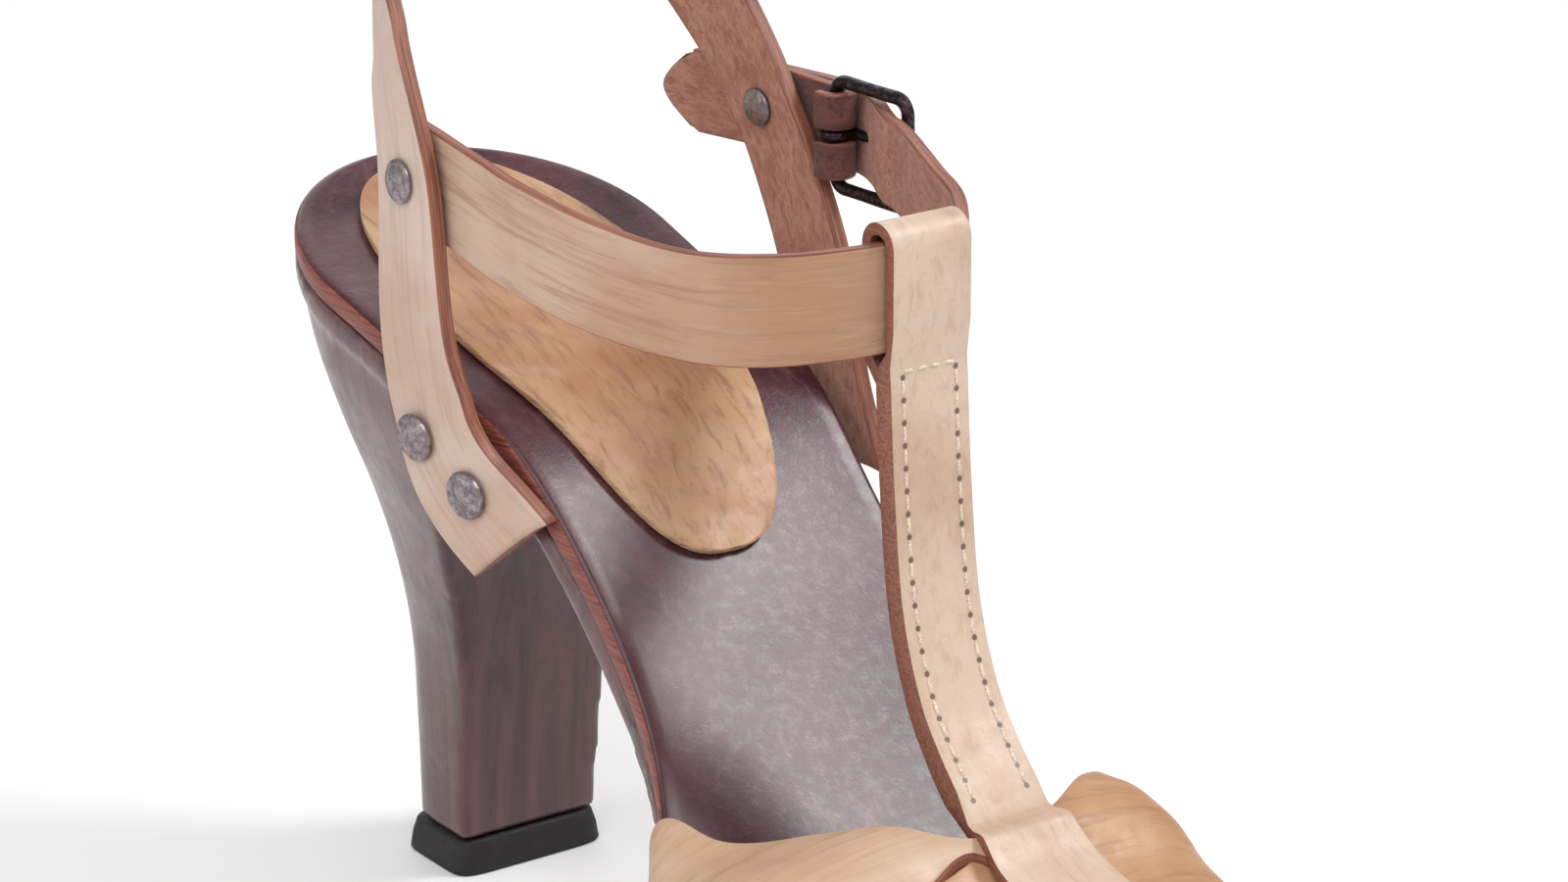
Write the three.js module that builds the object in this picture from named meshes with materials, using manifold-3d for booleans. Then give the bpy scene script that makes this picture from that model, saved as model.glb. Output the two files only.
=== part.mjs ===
import * as THREE from 'three';
import { mergeVertices } from 'three/addons/utils/BufferGeometryUtils.js';
import Module from 'manifold-3d';

// Left high-heeled sandal: carved wooden sole with a tall block heel, leather footbed and heel pad,
// riveted ankle straps, a looped T-strap and a crossed toe strap.
// Millimetres. +Z is up, the toe points to -Y and the buckle side is +X.
// The origin is the middle of the heel tip's foot. "Along" is the level distance from the seat's back.

// Driving sizes
const LENGTH = 224;
const BALL_WIDTH = 82;
const SEAT_HEIGHT = 118.4;
const FOREFOOT_HEIGHT = 22;
const SEAT_ROUND = 34.5;
const TOE_ROUND = 48;
const TOE_SWING = 6;
const FOOTBED_THICKNESS = 3.6;
const SHANK_THICKNESS = 4.2;
const SEAT_CUP = 2.2;
const TREAD_THICKNESS = 3;
const TREAD_INSET = 0.8;
const TIP_WIDTH = 30;
const TIP_DEPTH = 19.4;
const TIP_HEIGHT = 6;
const TIP_FLARE = 1.2;
const TIP_ALONG = 32.6;
const BREAST_ALONG = 70;
const PAD_THICKNESS = 1.4;
const PAD_LENGTH = 94;
const PAD_WIDTH = 47;
const PAD_BACK = 6.5;
const PAD_SWING = 1.2;
const STRAP_THICKNESS = 2.6;
const BAND_THICKNESS = 2.2;
const VAMP_THICKNESS = 2.2;
const T_LAYER = 1.9;
const T_WIDTH = 14.6;
const BAND_WIDTH = 17.4;
const SLING_WIDTH = 20;
const SLING_RISE = 72.8;
const INSTEP_RISE = 26;
const SKIRT_DROP = 13;
const BUCKLE_BAR = 2.2;
const BUCKLE_LENGTH = 20.2;
const BUCKLE_REACH = 17.6;
const BUCKLE_TILT = 4;
const FOLD_THICKNESS = 1.9;
const PRONG_WIDTH = 1.9;
const RIVET_RADIUS = 3.6;
const NAIL_RADIUS = 4;
const NAIL_DOME = 1.6;
const GAP = 0.3;
const LOOP_GAP = 1;
const VAMP_GAP = 0.5;

// Footprint: half widths to the inner and the outer side, as shares of the ball width
const OUTLINE = [
  { along: 0.154, inner: 0.409, outer: 0.409 },
  { along: 0.268, inner: 0.389, outer: 0.400 },
  { along: 0.357, inner: 0.340, outer: 0.397 },
  { along: 0.446, inner: 0.318, outer: 0.389 },
  { along: 0.536, inner: 0.345, outer: 0.411 },
  { along: 0.594, inner: 0.421, outer: 0.418 },
  { along: 0.647, inner: 0.518, outer: 0.432 },
  { along: 0.701, inner: 0.552, outer: 0.451 },
  { along: 0.750, inner: 0.553, outer: 0.452 },
  { along: 0.786, inner: 0.546, outer: 0.445 },
];

// Top line of the footbed's rim, as shares of the drop from the seat to the forefoot
const RIM = [
  { along: 0.000, rise: 1.000 },
  { along: 0.134, rise: 0.916 },
  { along: 0.268, rise: 0.826 },
  { along: 0.357, rise: 0.743 },
  { along: 0.446, rise: 0.563 },
  { along: 0.536, rise: 0.356 },
  { along: 0.594, rise: 0.227 },
  { along: 0.647, rise: 0.121 },
  { along: 0.696, rise: 0.050 },
  { along: 0.750, rise: 0.009 },
  { along: 0.804, rise: 0.000 },
  { along: 0.893, rise: 0.012 },
  { along: 1.000, rise: 0.062 },
];

// Underside of the wood ahead of the shank: where each rim station's foot lies, and its height
const UNDERSIDE = [
  { along: 0.600, foot: 0.574, rise: 1.625 },
  { along: 0.634, foot: 0.610, rise: 1.240 },
  { along: 0.656, foot: 0.632, rise: 0.820 },
  { along: 0.674, foot: 0.647, rise: 0.400 },
  { along: 0.688, foot: 0.660, rise: 0.000 },
  { along: 0.745, foot: 0.735, rise: 0.000 },
  { along: 0.848, foot: 0.846, rise: 0.000 },
  { along: 0.900, foot: 0.896, rise: 0.055 },
  { along: 1.000, foot: 0.988, rise: 0.360 },
];

// How the heel block grows from its tip to the seat: shares of the way, by height
const HEEL = [
  { rise: 0.00, side: 0.00, back: 0.00, breast: 0.00 },
  { rise: 0.20, side: 0.02, back: 0.01, breast: 0.04 },
  { rise: 0.36, side: 0.06, back: 0.05, breast: 0.10 },
  { rise: 0.52, side: 0.22, back: 0.14, breast: 0.17 },
  { rise: 0.66, side: 0.45, back: 0.30, breast: 0.26 },
  { rise: 0.78, side: 0.70, back: 0.50, breast: 0.40 },
  { rise: 0.90, side: 0.91, back: 0.78, breast: 0.66 },
  { rise: 1.00, side: 1.00, back: 1.00, breast: 1.00 },
];

// Rise of the toe straps over the rim, as shares of the instep rise
const VAMP = [
  { along: 0.580, rise: 0.30 },
  { along: 0.638, rise: 0.44 },
  { along: 0.692, rise: 0.80 },
  { along: 0.737, rise: 0.97 },
  { along: 0.759, rise: 0.96 },
  { along: 0.795, rise: 0.76 },
  { along: 0.848, rise: 0.62 },
  { along: 0.930, rise: 0.46 },
];

// Edges of the toe band and of the wing that crosses it, from the inner to the outer side.
// "Across" is -1 and 1 at the rims, and goes on down the sides of the sole.
const TOE_BAND = [
  { across: -1.30, back: 0.772, front: 0.868 },
  { across: -1.00, back: 0.768, front: 0.884 },
  { across: -0.30, back: 0.778, front: 0.915 },
  { across: 0.00, back: 0.768, front: 0.921 },
  { across: 0.38, back: 0.750, front: 0.915 },
  { across: 1.00, back: 0.688, front: 0.862 },
  { across: 1.30, back: 0.705, front: 0.846 },
];
const WING = [
  { across: -1.30, back: 0.640, front: 0.800 },
  { across: -1.00, back: 0.598, front: 0.822 },
  { across: -0.65, back: 0.641, front: 0.808 },
  { across: -0.36, back: 0.693, front: 0.788 },
  { across: -0.24, back: 0.716, front: 0.780 },
  { across: -0.05, back: 0.757, front: 0.770 },
  { across: 0.10, back: 0.766, front: 0.790 },
];

// Back strap from the inner sole side, round the back of the ankle, to the outer sole side.
// "Side" is a share of the ball width, "rise" of the sling's rise over the rim beside it,
// "width" of the strap's width, and "turn" is the way that its face looks, 90 is straight back.
const SLING = [
  { side: -0.355, along: 0.388, rise: -0.175, width: 1.00, turn: -14 },
  { side: -0.400, along: 0.324, rise: -0.137, width: 1.00, turn: -10 },
  { side: -0.425, along: 0.299, rise: 0.070, width: 0.94, turn: -3 },
  { side: -0.432, along: 0.291, rise: 0.468, width: 0.77, turn: 0 },
  { side: -0.415, along: 0.263, rise: 0.661, width: 0.66, turn: 8 },
  { side: -0.372, along: 0.228, rise: 0.775, width: 0.62, turn: 22 },
  { side: -0.265, along: 0.150, rise: 0.905, width: 0.60, turn: 48 },
  { side: -0.130, along: 0.095, rise: 0.978, width: 0.60, turn: 72 },
  { side: 0.000, along: 0.078, rise: 1.000, width: 0.60, turn: 90 },
  { side: 0.130, along: 0.095, rise: 0.972, width: 0.62, turn: 108 },
  { side: 0.265, along: 0.145, rise: 0.885, width: 0.68, turn: 132 },
  { side: 0.365, along: 0.200, rise: 0.720, width: 0.76, turn: 158 },
  { side: 0.412, along: 0.240, rise: 0.590, width: 0.80, turn: 172 },
  { side: 0.437, along: 0.286, rise: 0.420, width: 0.82, turn: 180 },
  { side: 0.445, along: 0.330, rise: 0.210, width: 0.90, turn: 180 },
  { side: 0.447, along: 0.353, rise: -0.040, width: 0.98, turn: 182 },
  { side: 0.447, along: 0.384, rise: -0.190, width: 1.00, turn: 183 },
];

// Ankle band from its end inside the inner riser, through the T-strap's loop, to the buckle.
// "Drop" is under the height of the inner rivet.
const BAND = [
  { side: -0.384, along: 0.250, drop: -0.005, width: 1.00 },
  { side: -0.389, along: 0.291, drop: 0.003, width: 1.00 },
  { side: -0.394, along: 0.345, drop: 0.020, width: 1.00 },
  { side: -0.388, along: 0.404, drop: 0.052, width: 1.00 },
  { side: -0.335, along: 0.468, drop: 0.100, width: 1.00 },
  { side: -0.242, along: 0.532, drop: 0.132, width: 1.00 },
  { side: -0.150, along: 0.584, drop: 0.124, width: 1.00 },
  { side: -0.037, along: 0.616, drop: 0.104, width: 1.00 },
  { side: 0.110, along: 0.620, drop: 0.100, width: 0.98 },
  { side: 0.222, along: 0.613, drop: 0.095, width: 0.95 },
  { side: 0.305, along: 0.570, drop: 0.072, width: 0.91 },
  { side: 0.366, along: 0.504, drop: 0.040, width: 0.87 },
];

// The band's last stretch, through the buckle to its tip, drawn about the buckle's rear bar.
// "Forward" is a share of the buckle's reach, and "level" goes from 0, just inside the front bar,
// to 1, just outside the strap that is folded round the rear bar.
const BAND_END = [
  { forward: 1.247, level: -0.240, drop: 0.020 },
  { forward: 0.875, level: 0.043, drop: 0.014 },
  { forward: 0.528, level: 0.513, drop: 0.012 },
  { forward: 0.131, level: 0.953, drop: 0.013 },
  { forward: -0.307, level: 1.119, drop: 0.018 },
  { forward: -1.261, level: 1.289, drop: 0.032 },
  { forward: -2.020, level: 1.320, drop: 0.048 },
  { forward: -3.050, level: 1.355, drop: 0.068 },
];
const BAND_END_WIDTH = 0.84;

// Middle of the T-strap in side view, from its foot on the toe band up to the band.
// "Rise" is from the vamp's top at its foot, 0, to the band's middle, 1.
const T_STRAP = [
  { along: 0.736, rise: 0.035, side: 0.055 },
  { along: 0.708, rise: 0.105, side: 0.064 },
  { along: 0.680, rise: 0.205, side: 0.072 },
  { along: 0.654, rise: 0.370, side: 0.084 },
  { along: 0.637, rise: 0.600, side: 0.098 },
  { along: 0.627, rise: 0.820, side: 0.108 },
];

function smooth(a, b, t) {
  const s = Math.min(Math.max((t - a) / (b - a), 0), 1);
  return s * s * (3 - 2 * s);
}

// Smooth curve through a table's column, which never swings past its rows
function through(rows, key, value) {
  const last = rows.length - 1;
  const rise = (i) => (rows[i + 1][value] - rows[i][value]) / (rows[i + 1][key] - rows[i][key]);
  const slopeAt = (i) => {
    if (i === 0 || i === last) return rise(Math.min(i, last - 1));
    const before = rise(i - 1);
    const after = rise(i);
    if (before * after <= 0) return 0;
    const limit = 3 * Math.min(Math.abs(before), Math.abs(after));
    return Math.sign(before) * Math.min(Math.abs(before + after) / 2, limit);
  };
  return (t) => {
    const x = Math.min(Math.max(t, rows[0][key]), rows[last][key]);
    let i = 0;
    while (i < last - 1 && x > rows[i + 1][key]) i += 1;
    const span = rows[i + 1][key] - rows[i][key];
    const s = (x - rows[i][key]) / span;
    const h = 1 - s;
    return rows[i][value] * h * h * (1 + 2 * s) + rows[i + 1][value] * s * s * (1 + 2 * h)
      + span * s * h * (slopeAt(i) * h - slopeAt(i + 1) * s);
  };
}

const place = (x, along, z) => new THREE.Vector3(x, TIP_ALONG - along, z);

// Footprint and rim

const innerShare = through(OUTLINE, 'along', 'inner');
const outerShare = through(OUTLINE, 'along', 'outer');
const rimShare = through(RIM, 'along', 'rise');

function footprint(along) {
  const toeStart = LENGTH - TOE_ROUND;
  const inside = Math.min(Math.max(along, SEAT_ROUND), toeStart);
  let inner = BALL_WIDTH * innerShare(inside / LENGTH);
  let outer = BALL_WIDTH * outerShare(inside / LENGTH);
  if (along < SEAT_ROUND) {
    const share = Math.sqrt(1 - Math.min((SEAT_ROUND - along) / SEAT_ROUND, 1) ** 2);
    inner *= share;
    outer *= share;
  }
  if (along > toeStart) {
    const s = Math.min((along - toeStart) / TOE_ROUND, 1);
    const half = (inner + outer) / 2 * (1 - s ** 2.3) ** (1 / 2.3);
    const middle = (outer - inner) / 2 - TOE_SWING * s * s;
    inner = half - middle;
    outer = half + middle;
  }
  return { inner, outer };
}

const rimHeight = (along) => FOREFOOT_HEIGHT
  + (SEAT_HEIGHT - FOREFOOT_HEIGHT) * rimShare(along / LENGTH);

// A point of the sole, "depth" under the rim, square to the rim's side view except at the back
function soleProfile(along, depth) {
  const step = 0.5;
  const slope = (rimHeight(along + step) - rimHeight(along - step)) / (2 * step);
  const lean = -slope * smooth(0, SEAT_ROUND * 1.6, along);
  const size = Math.hypot(lean, 1);
  return { along: along - depth * lean / size, z: rimHeight(along) - depth / size };
}

// Sideways place on the sole, "v" from -1 at the inner edge to 1 at the outer one, less an inset
const across = (along, v, inset = 0) => {
  const { inner, outer } = footprint(along);
  return (outer - inner) / 2 + v * ((inner + outer) / 2 - inset);
};

// Half width for a point that a station's lean has moved back, so that the side stays upright
const sideWidth = (along, moved, v) => across(THREE.MathUtils.lerp(moved, along,
  Math.max(smooth(0.85, 0.95, along / LENGTH), 1 - smooth(0, 0.1, along / LENGTH))), v);

// Hollow of the top, shallower ahead of the seat and running out at both ends
const CUP_RUN = SEAT_ROUND * 0.5;
const cup = (along, v) => SEAT_CUP * (1 - v * v) * (1 - 0.45 * smooth(SEAT_ROUND, LENGTH * 0.5, along))
  * smooth(0, CUP_RUN, along) * smooth(LENGTH, LENGTH - CUP_RUN, along);

// Stations that crowd towards both round ends
function stations(from, to, count) {
  return Array.from({ length: count + 1 }, (_, i) => {
    const s = i / count;
    const eased = (1 - Math.cos(Math.PI * s)) / 2;
    return from + (to - from) * (0.35 * s + 0.65 * eased);
  });
}

// Closed body between two grids of points with the same rows and columns
function slab(top, bottom) {
  const rows = top.length;
  const columns = top[0].length;
  const positions = [];
  for (const grid of [top, bottom]) {
    for (const row of grid) for (const p of row) positions.push(p.x, p.y, p.z);
  }
  const index = [];
  const upper = (i, j) => i * columns + j;
  const lower = (i, j) => rows * columns + i * columns + j;
  const quad = (a, b, c, d) => index.push(a, b, c, a, c, d);
  for (let i = 0; i < rows - 1; i += 1) {
    for (let j = 0; j < columns - 1; j += 1) {
      quad(upper(i, j), upper(i + 1, j), upper(i + 1, j + 1), upper(i, j + 1));
      quad(lower(i, j), lower(i, j + 1), lower(i + 1, j + 1), lower(i + 1, j));
    }
    quad(upper(i + 1, 0), upper(i, 0), lower(i, 0), lower(i + 1, 0));
    quad(upper(i, columns - 1), upper(i + 1, columns - 1), lower(i + 1, columns - 1), lower(i, columns - 1));
  }
  for (let j = 0; j < columns - 1; j += 1) {
    quad(upper(0, j), upper(0, j + 1), lower(0, j + 1), lower(0, j));
    quad(upper(rows - 1, j + 1), upper(rows - 1, j), lower(rows - 1, j), lower(rows - 1, j + 1));
  }
  return closed(positions, index);
}

// Closed body through a list of rings with the same number of points
function loft(rings) {
  const count = rings[0].length;
  const positions = rings.flat().flatMap((p) => [p.x, p.y, p.z]);
  const index = [];
  for (let k = 0; k < rings.length - 1; k += 1) {
    for (let i = 0; i < count; i += 1) {
      const a = k * count + i;
      const b = k * count + (i + 1) % count;
      index.push(a, b, b + count, a, b + count, a + count);
    }
  }
  for (const k of [0, rings.length - 1]) {
    const middle = new THREE.Vector3();
    for (const p of rings[k]) middle.addScaledVector(p, 1 / count);
    const centre = positions.length / 3;
    positions.push(middle.x, middle.y, middle.z);
    for (let i = 0; i < count; i += 1) {
      const a = k * count + i;
      const b = k * count + (i + 1) % count;
      if (k === 0) index.push(centre, b, a);
      else index.push(centre, a, b);
    }
  }
  return closed(positions, index);
}

// Turns a body's faces outwards when its points ran the other way round
function closed(positions, index) {
  let volume = 0;
  const point = (i) => new THREE.Vector3().fromArray(positions, index[i] * 3);
  for (let i = 0; i < index.length; i += 3) {
    volume += point(i).dot(point(i + 1).cross(point(i + 2)));
  }
  if (volume < 0) {
    for (let i = 0; i < index.length; i += 3) [index[i], index[i + 1]] = [index[i + 1], index[i]];
  }
  const geometry = new THREE.BufferGeometry();
  geometry.setAttribute('position', new THREE.Float32BufferAttribute(positions, 3));
  geometry.setIndex(index);
  return geometry;
}

// Joining and cutting

const wasm = await Module();
wasm.setup();

function toSolid(geometry) {
  const bare = geometry.clone();
  bare.deleteAttribute('normal');
  bare.deleteAttribute('uv');
  const merged = mergeVertices(bare, 1e-4);
  return new wasm.Manifold(new wasm.Mesh({
    numProp: 3,
    vertProperties: new Float32Array(merged.attributes.position.array),
    triVerts: new Uint32Array(merged.index.array),
  }));
}

// Closes the short edges that a join leaves along its seam, and swaps the long edge of a flat triangle
const SHORT_EDGE = 0.08;
const FLAT_HEIGHT = 0.02;

function closeShortEdges(points, triangles) {
  const into = points.map((_, i) => i);
  const find = (i) => (into[i] === i ? i : find(into[i]));
  for (const triangle of triangles) {
    for (let k = 0; k < 3; k += 1) {
      const a = find(triangle[k]);
      const b = find(triangle[(k + 1) % 3]);
      if (points[a].distanceTo(points[b]) < SHORT_EDGE) into[Math.max(a, b)] = Math.min(a, b);
    }
  }
  return triangles.map((t) => t.map(find)).filter(([a, b, c]) => a !== b && b !== c && c !== a);
}

function swapLongEdges(points, triangles) {
  const edge = (t, k) => [t[k], t[(k + 1) % 3]];
  const size = ([a, b]) => points[a].distanceTo(points[b]);
  const owner = new Map();
  triangles.forEach((t, i) => [0, 1, 2].forEach((k) => owner.set(edge(t, k).join(), i)));
  const touched = new Set();
  triangles.forEach((t, i) => {
    const k = [0, 1, 2].reduce((best, other) => (size(edge(t, other)) > size(edge(t, best)) ? other : best), 0);
    const [a, b] = edge(t, k);
    const c = t[(k + 2) % 3];
    const area = new THREE.Triangle(points[a], points[b], points[c]).getArea();
    const j = owner.get([b, a].join());
    if (2 * area / size([a, b]) > FLAT_HEIGHT || touched.has(i) || touched.has(j)) return;
    const d = triangles[j].find((v) => v !== a && v !== b);
    if (owner.has([c, d].join()) || owner.has([d, c].join())) return;
    triangles[i] = [a, d, c];
    triangles[j] = [d, b, c];
    touched.add(i).add(j);
  });
  return touched.size > 0;
}

function toGeometry(solid) {
  const mesh = solid.getMesh();
  const loose = new THREE.BufferGeometry();
  loose.setAttribute('position', new THREE.BufferAttribute(new Float32Array(mesh.vertProperties), 3));
  loose.setIndex(new THREE.BufferAttribute(new Uint32Array(mesh.triVerts), 1));
  const merged = mergeVertices(loose, 1e-4);
  const { position } = merged.attributes;
  const points = Array.from({ length: position.count }, (_, i) => new THREE.Vector3().fromBufferAttribute(position, i));
  let triangles = [];
  for (let i = 0; i < merged.index.count; i += 3) triangles.push(Array.from(merged.index.array.slice(i, i + 3)));
  for (let round = 0; round < 6; round += 1) {
    triangles = closeShortEdges(points, triangles);
    if (!swapLongEdges(points, triangles)) break;
  }
  const geometry = new THREE.BufferGeometry().setFromPoints(points);
  geometry.setIndex(triangles.flat());
  return geometry;
}

// Sole

const ENDS = 0.25;
const COLUMNS = [-1, -0.8, -0.4, 0, 0.4, 0.8, 1];

function soleLayer(from, to, count, topDepth, bottomDepth, hollow) {
  const lines = stations(from, to, count);
  const sheet = (depth) => lines.map((along) => COLUMNS.map((v) => {
    const p = soleProfile(along, depth);
    return place(sideWidth(along, p.along, v), p.along, p.z - (hollow ? cup(along, v) : 0));
  }));
  return slab(sheet(topDepth), sheet(bottomDepth));
}

function makeFootbed() {
  return soleLayer(ENDS, LENGTH - ENDS, 38, 0, FOOTBED_THICKNESS, true);
}

const footShare = through(UNDERSIDE, 'along', 'foot');
const footRise = through(UNDERSIDE, 'along', 'rise');
const WOOD_TOP = FOOTBED_THICKNESS + GAP;
const WOOD_BOTTOM = WOOD_TOP + SHANK_THICKNESS;

function underside(along) {
  const shank = soleProfile(along, WOOD_BOTTOM);
  const blend = smooth(0.56, 0.60, along / LENGTH);
  const foot = LENGTH * footShare(along / LENGTH);
  const z = TREAD_THICKNESS + GAP + FOREFOOT_HEIGHT * footRise(along / LENGTH);
  return {
    along: THREE.MathUtils.lerp(shank.along, foot, blend),
    z: THREE.MathUtils.lerp(shank.z, z, blend),
  };
}

function makeBoard() {
  const lines = stations(ENDS, LENGTH - ENDS, 46);
  const top = lines.map((along) => COLUMNS.map((v) => {
    const p = soleProfile(along, WOOD_TOP);
    return place(sideWidth(along, p.along, v), p.along, p.z - cup(along, v));
  }));
  const bottom = lines.map((along) => COLUMNS.map((v) => {
    const p = underside(along);
    return place(sideWidth(along, p.along, v), p.along, p.z);
  }));
  return slab(top, bottom);
}

const heelSide = through(HEEL, 'rise', 'side');
const heelBack = through(HEEL, 'rise', 'back');
const heelBreast = through(HEEL, 'rise', 'breast');
const HEEL_CORNER = 7;
const HEEL_ROOT = 0.75;

// One ring of the heel block; it runs from the inner breast corner round the back
function heelRing(rise, count) {
  const ring = [];
  const inset = 0.6;
  for (let i = 0; i <= count; i += 1) {
    const angle = Math.PI * i / count;
    const sign = Math.cos(angle) < 0 ? 1 : -1;
    const c = Math.abs(Math.cos(angle)) ** (2 / HEEL_CORNER);
    const s = Math.sin(angle) ** (2 / HEEL_CORNER);
    const tip = { x: sign * c * (TIP_WIDTH / 2 - TIP_FLARE) };
    tip.along = TIP_ALONG + TIP_DEPTH / 2 - TIP_FLARE - s * (TIP_DEPTH - 2 * TIP_FLARE);
    const seatAlong = BREAST_ALONG * (1 - Math.sin(angle) ** 0.9) + inset;
    const { inner, outer } = footprint(seatAlong);
    const seat = { x: sign < 0 ? inset - inner : outer - inset, along: seatAlong };
    if (i === count / 2) seat.x = 0;
    const front = 1 - Math.sin(angle);
    const share = heelBack(rise) * (1 - front) + heelBreast(rise) * front;
    const root = soleProfile(seatAlong, WOOD_TOP + SHANK_THICKNESS * HEEL_ROOT).z;
    ring.push(place(
      THREE.MathUtils.lerp(tip.x, seat.x, heelSide(rise)),
      THREE.MathUtils.lerp(tip.along, seat.along, share),
      THREE.MathUtils.lerp(TIP_HEIGHT + GAP, root, rise),
    ));
  }
  return ring;
}

function makeWoodenSole() {
  const levels = 14;
  const rings = Array.from({ length: levels + 1 }, (_, k) => heelRing(k / levels, 28));
  return toGeometry(toSolid(makeBoard()).add(toSolid(loft(rings))));
}

function makeHeelTip() {
  const count = 40;
  const ring = (z, width, depth) => Array.from({ length: count }, (_, i) => {
    const angle = 2 * Math.PI * i / count;
    const power = (t) => Math.sign(t) * Math.abs(t) ** (2 / HEEL_CORNER);
    return place(power(Math.cos(angle)) * width / 2, TIP_ALONG - power(Math.sin(angle)) * depth / 2, z);
  });
  const neck = TIP_FLARE * 1.6;
  return loft([
    ring(0, TIP_WIDTH, TIP_DEPTH),
    ring(TIP_HEIGHT * 0.55, TIP_WIDTH - TIP_FLARE * 0.6, TIP_DEPTH - TIP_FLARE * 0.6),
    ring(TIP_HEIGHT, TIP_WIDTH - neck, TIP_DEPTH - neck),
  ]);
}

function makeTread() {
  const start = UNDERSIDE[4].foot * LENGTH + 1;
  const lines = stations(start, LENGTH * 0.986, 18);
  const rise = (along) => FOREFOOT_HEIGHT * through(UNDERSIDE, 'foot', 'rise')(along / LENGTH);
  const sheet = (lift) => lines.map((along) => COLUMNS.map((v) => place(
    across(along + 0.002 * LENGTH, v, TREAD_INSET), along, rise(along) + lift)));
  return slab(sheet(TREAD_THICKNESS), sheet(0));
}

function makeHeelPad() {
  const lines = stations(PAD_BACK, PAD_BACK + PAD_LENGTH, 22);
  const half = (along) => {
    const s = (along - PAD_BACK) / PAD_LENGTH;
    const egg = Math.sqrt(Math.max(1 - (2 * s - 1) ** 2, 0.0004)) ** 0.72;
    return PAD_WIDTH / 2 * egg * (1.04 - 0.16 * s);
  };
  const sheet = (lift) => lines.map((along) => [-1, -0.6, 0, 0.6, 1].map((v) => {
    const x = PAD_SWING + v * half(along);
    const { inner, outer } = footprint(along);
    const p = soleProfile(along, -lift);
    return place(x, p.along, p.z - cup(along, (2 * x - outer + inner) / (inner + outer)));
  }));
  return slab(sheet(GAP + PAD_THICKNESS), sheet(GAP));
}

// Straps

// Ribbon along a path of rows: each gives its middle, face direction and width.
// "From" and "to" trim the ends, as shares of the path, for a column across at -1 to 1.
function strapFrame(rows) {
  const curve = new THREE.CatmullRomCurve3(rows.map((row) => row.point));
  const count = rows.length - 1;
  return (t) => {
    const i = Math.min(Math.floor(t * count), count - 1);
    const s = t * count - i;
    const tangent = curve.getTangent(t);
    const face = rows[i].face.clone().lerp(rows[i + 1].face, s);
    face.addScaledVector(tangent, -face.dot(tangent)).normalize();
    return {
      middle: curve.getPoint(t),
      face,
      side: tangent.clone().cross(face),
      width: THREE.MathUtils.lerp(rows[i].width, rows[i + 1].width, s),
    };
  };
}

function ribbon(rows, thickness, steps, from, to, columns) {
  const frame = strapFrame(rows);
  const sheet = (lift) => Array.from({ length: steps + 1 }, (_, i) => columns.map((v) => {
    const t = from(v) + (to(v) - from(v)) * i / steps;
    const { middle, face, side, width } = frame(t);
    return middle.clone().addScaledVector(side, v * width / 2).addScaledVector(face, lift);
  }));
  return slab(sheet(thickness / 2), sheet(-thickness / 2));
}

const slingRows = SLING.map((row) => {
  const along = row.along * LENGTH;
  const turn = THREE.MathUtils.degToRad(row.turn);
  return {
    point: place(row.side * BALL_WIDTH, along, rimHeight(along) + row.rise * SLING_RISE),
    face: new THREE.Vector3(-Math.cos(turn), Math.sin(turn), 0),
    width: row.width * SLING_WIDTH,
  };
});

const INNER_RIVET = SLING[3];
const rivetHeight = rimHeight(INNER_RIVET.along * LENGTH) + INNER_RIVET.rise * SLING_RISE;

// Rows of a strap that lies level, its faces upright
function levelRows(points, widthAt) {
  return points.map((point, i) => {
    const before = points[Math.max(i - 1, 0)];
    const after = points[Math.min(i + 1, points.length - 1)];
    const run = after.clone().sub(before).setZ(0).normalize();
    return { point, face: new THREE.Vector3(run.y, -run.x, 0), width: widthAt(i) };
  });
}

// Where each rivet and nail goes through the back strap: how far along its path, and across it.
// A rivet's "over" is what lies on the strap's outer face, and "under" what lies inside it.
const slingFrame = strapFrame(slingRows);
const SLING_STEPS = SLING.length - 1;
const RIVETS = {
  inner: { step: 3, across: 0, over: 0, under: BAND_THICKNESS + 1.4 },
  outer: { step: 12.8, across: 0, over: FOLD_THICKNESS + 0.95, under: 0 },
};
const NAILS = {
  inner_back: { step: 1.38, across: -0.42 },
  inner_front: { step: 0.72, across: 0.12 },
  outer_back: { step: 14.7, across: -0.36 },
  outer_front: { step: 15.4, across: 0.12 },
};

// The buckle lies ahead of the outer rivet. Its place is a rear bar, and what it holds is drawn
// about that bar: forward and outward in plan, and by height.
const BUCKLE_STANDOFF = 0.1;
const BAR_HOLE = BUCKLE_BAR * 0.7;
const BUCKLE_LEVEL = rivetHeight - 0.012 * SLING_RISE;
const FOLD_WIDTH = BUCKLE_LENGTH - 2 * BUCKLE_BAR - 1.2;
const FOLD_MIDDLE = BAR_HOLE + FOLD_THICKNESS / 2;
const outerRivet = slingFrame(RIVETS.outer.step / SLING_STEPS).middle;
const rearBar = new THREE.Vector3(outerRivet.x + STRAP_THICKNESS / 2 + BUCKLE_STANDOFF,
  outerRivet.y - BUCKLE_REACH, BUCKLE_LEVEL);

function byBuckle(forward, out, drop = 0) {
  const tilt = THREE.MathUtils.degToRad(BUCKLE_TILT);
  return new THREE.Vector3(out, -forward, 0)
    .applyAxisAngle(new THREE.Vector3(0, 0, 1), tilt)
    .add(rearBar)
    .setZ(drop ? rivetHeight - drop : BUCKLE_LEVEL);
}

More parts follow.
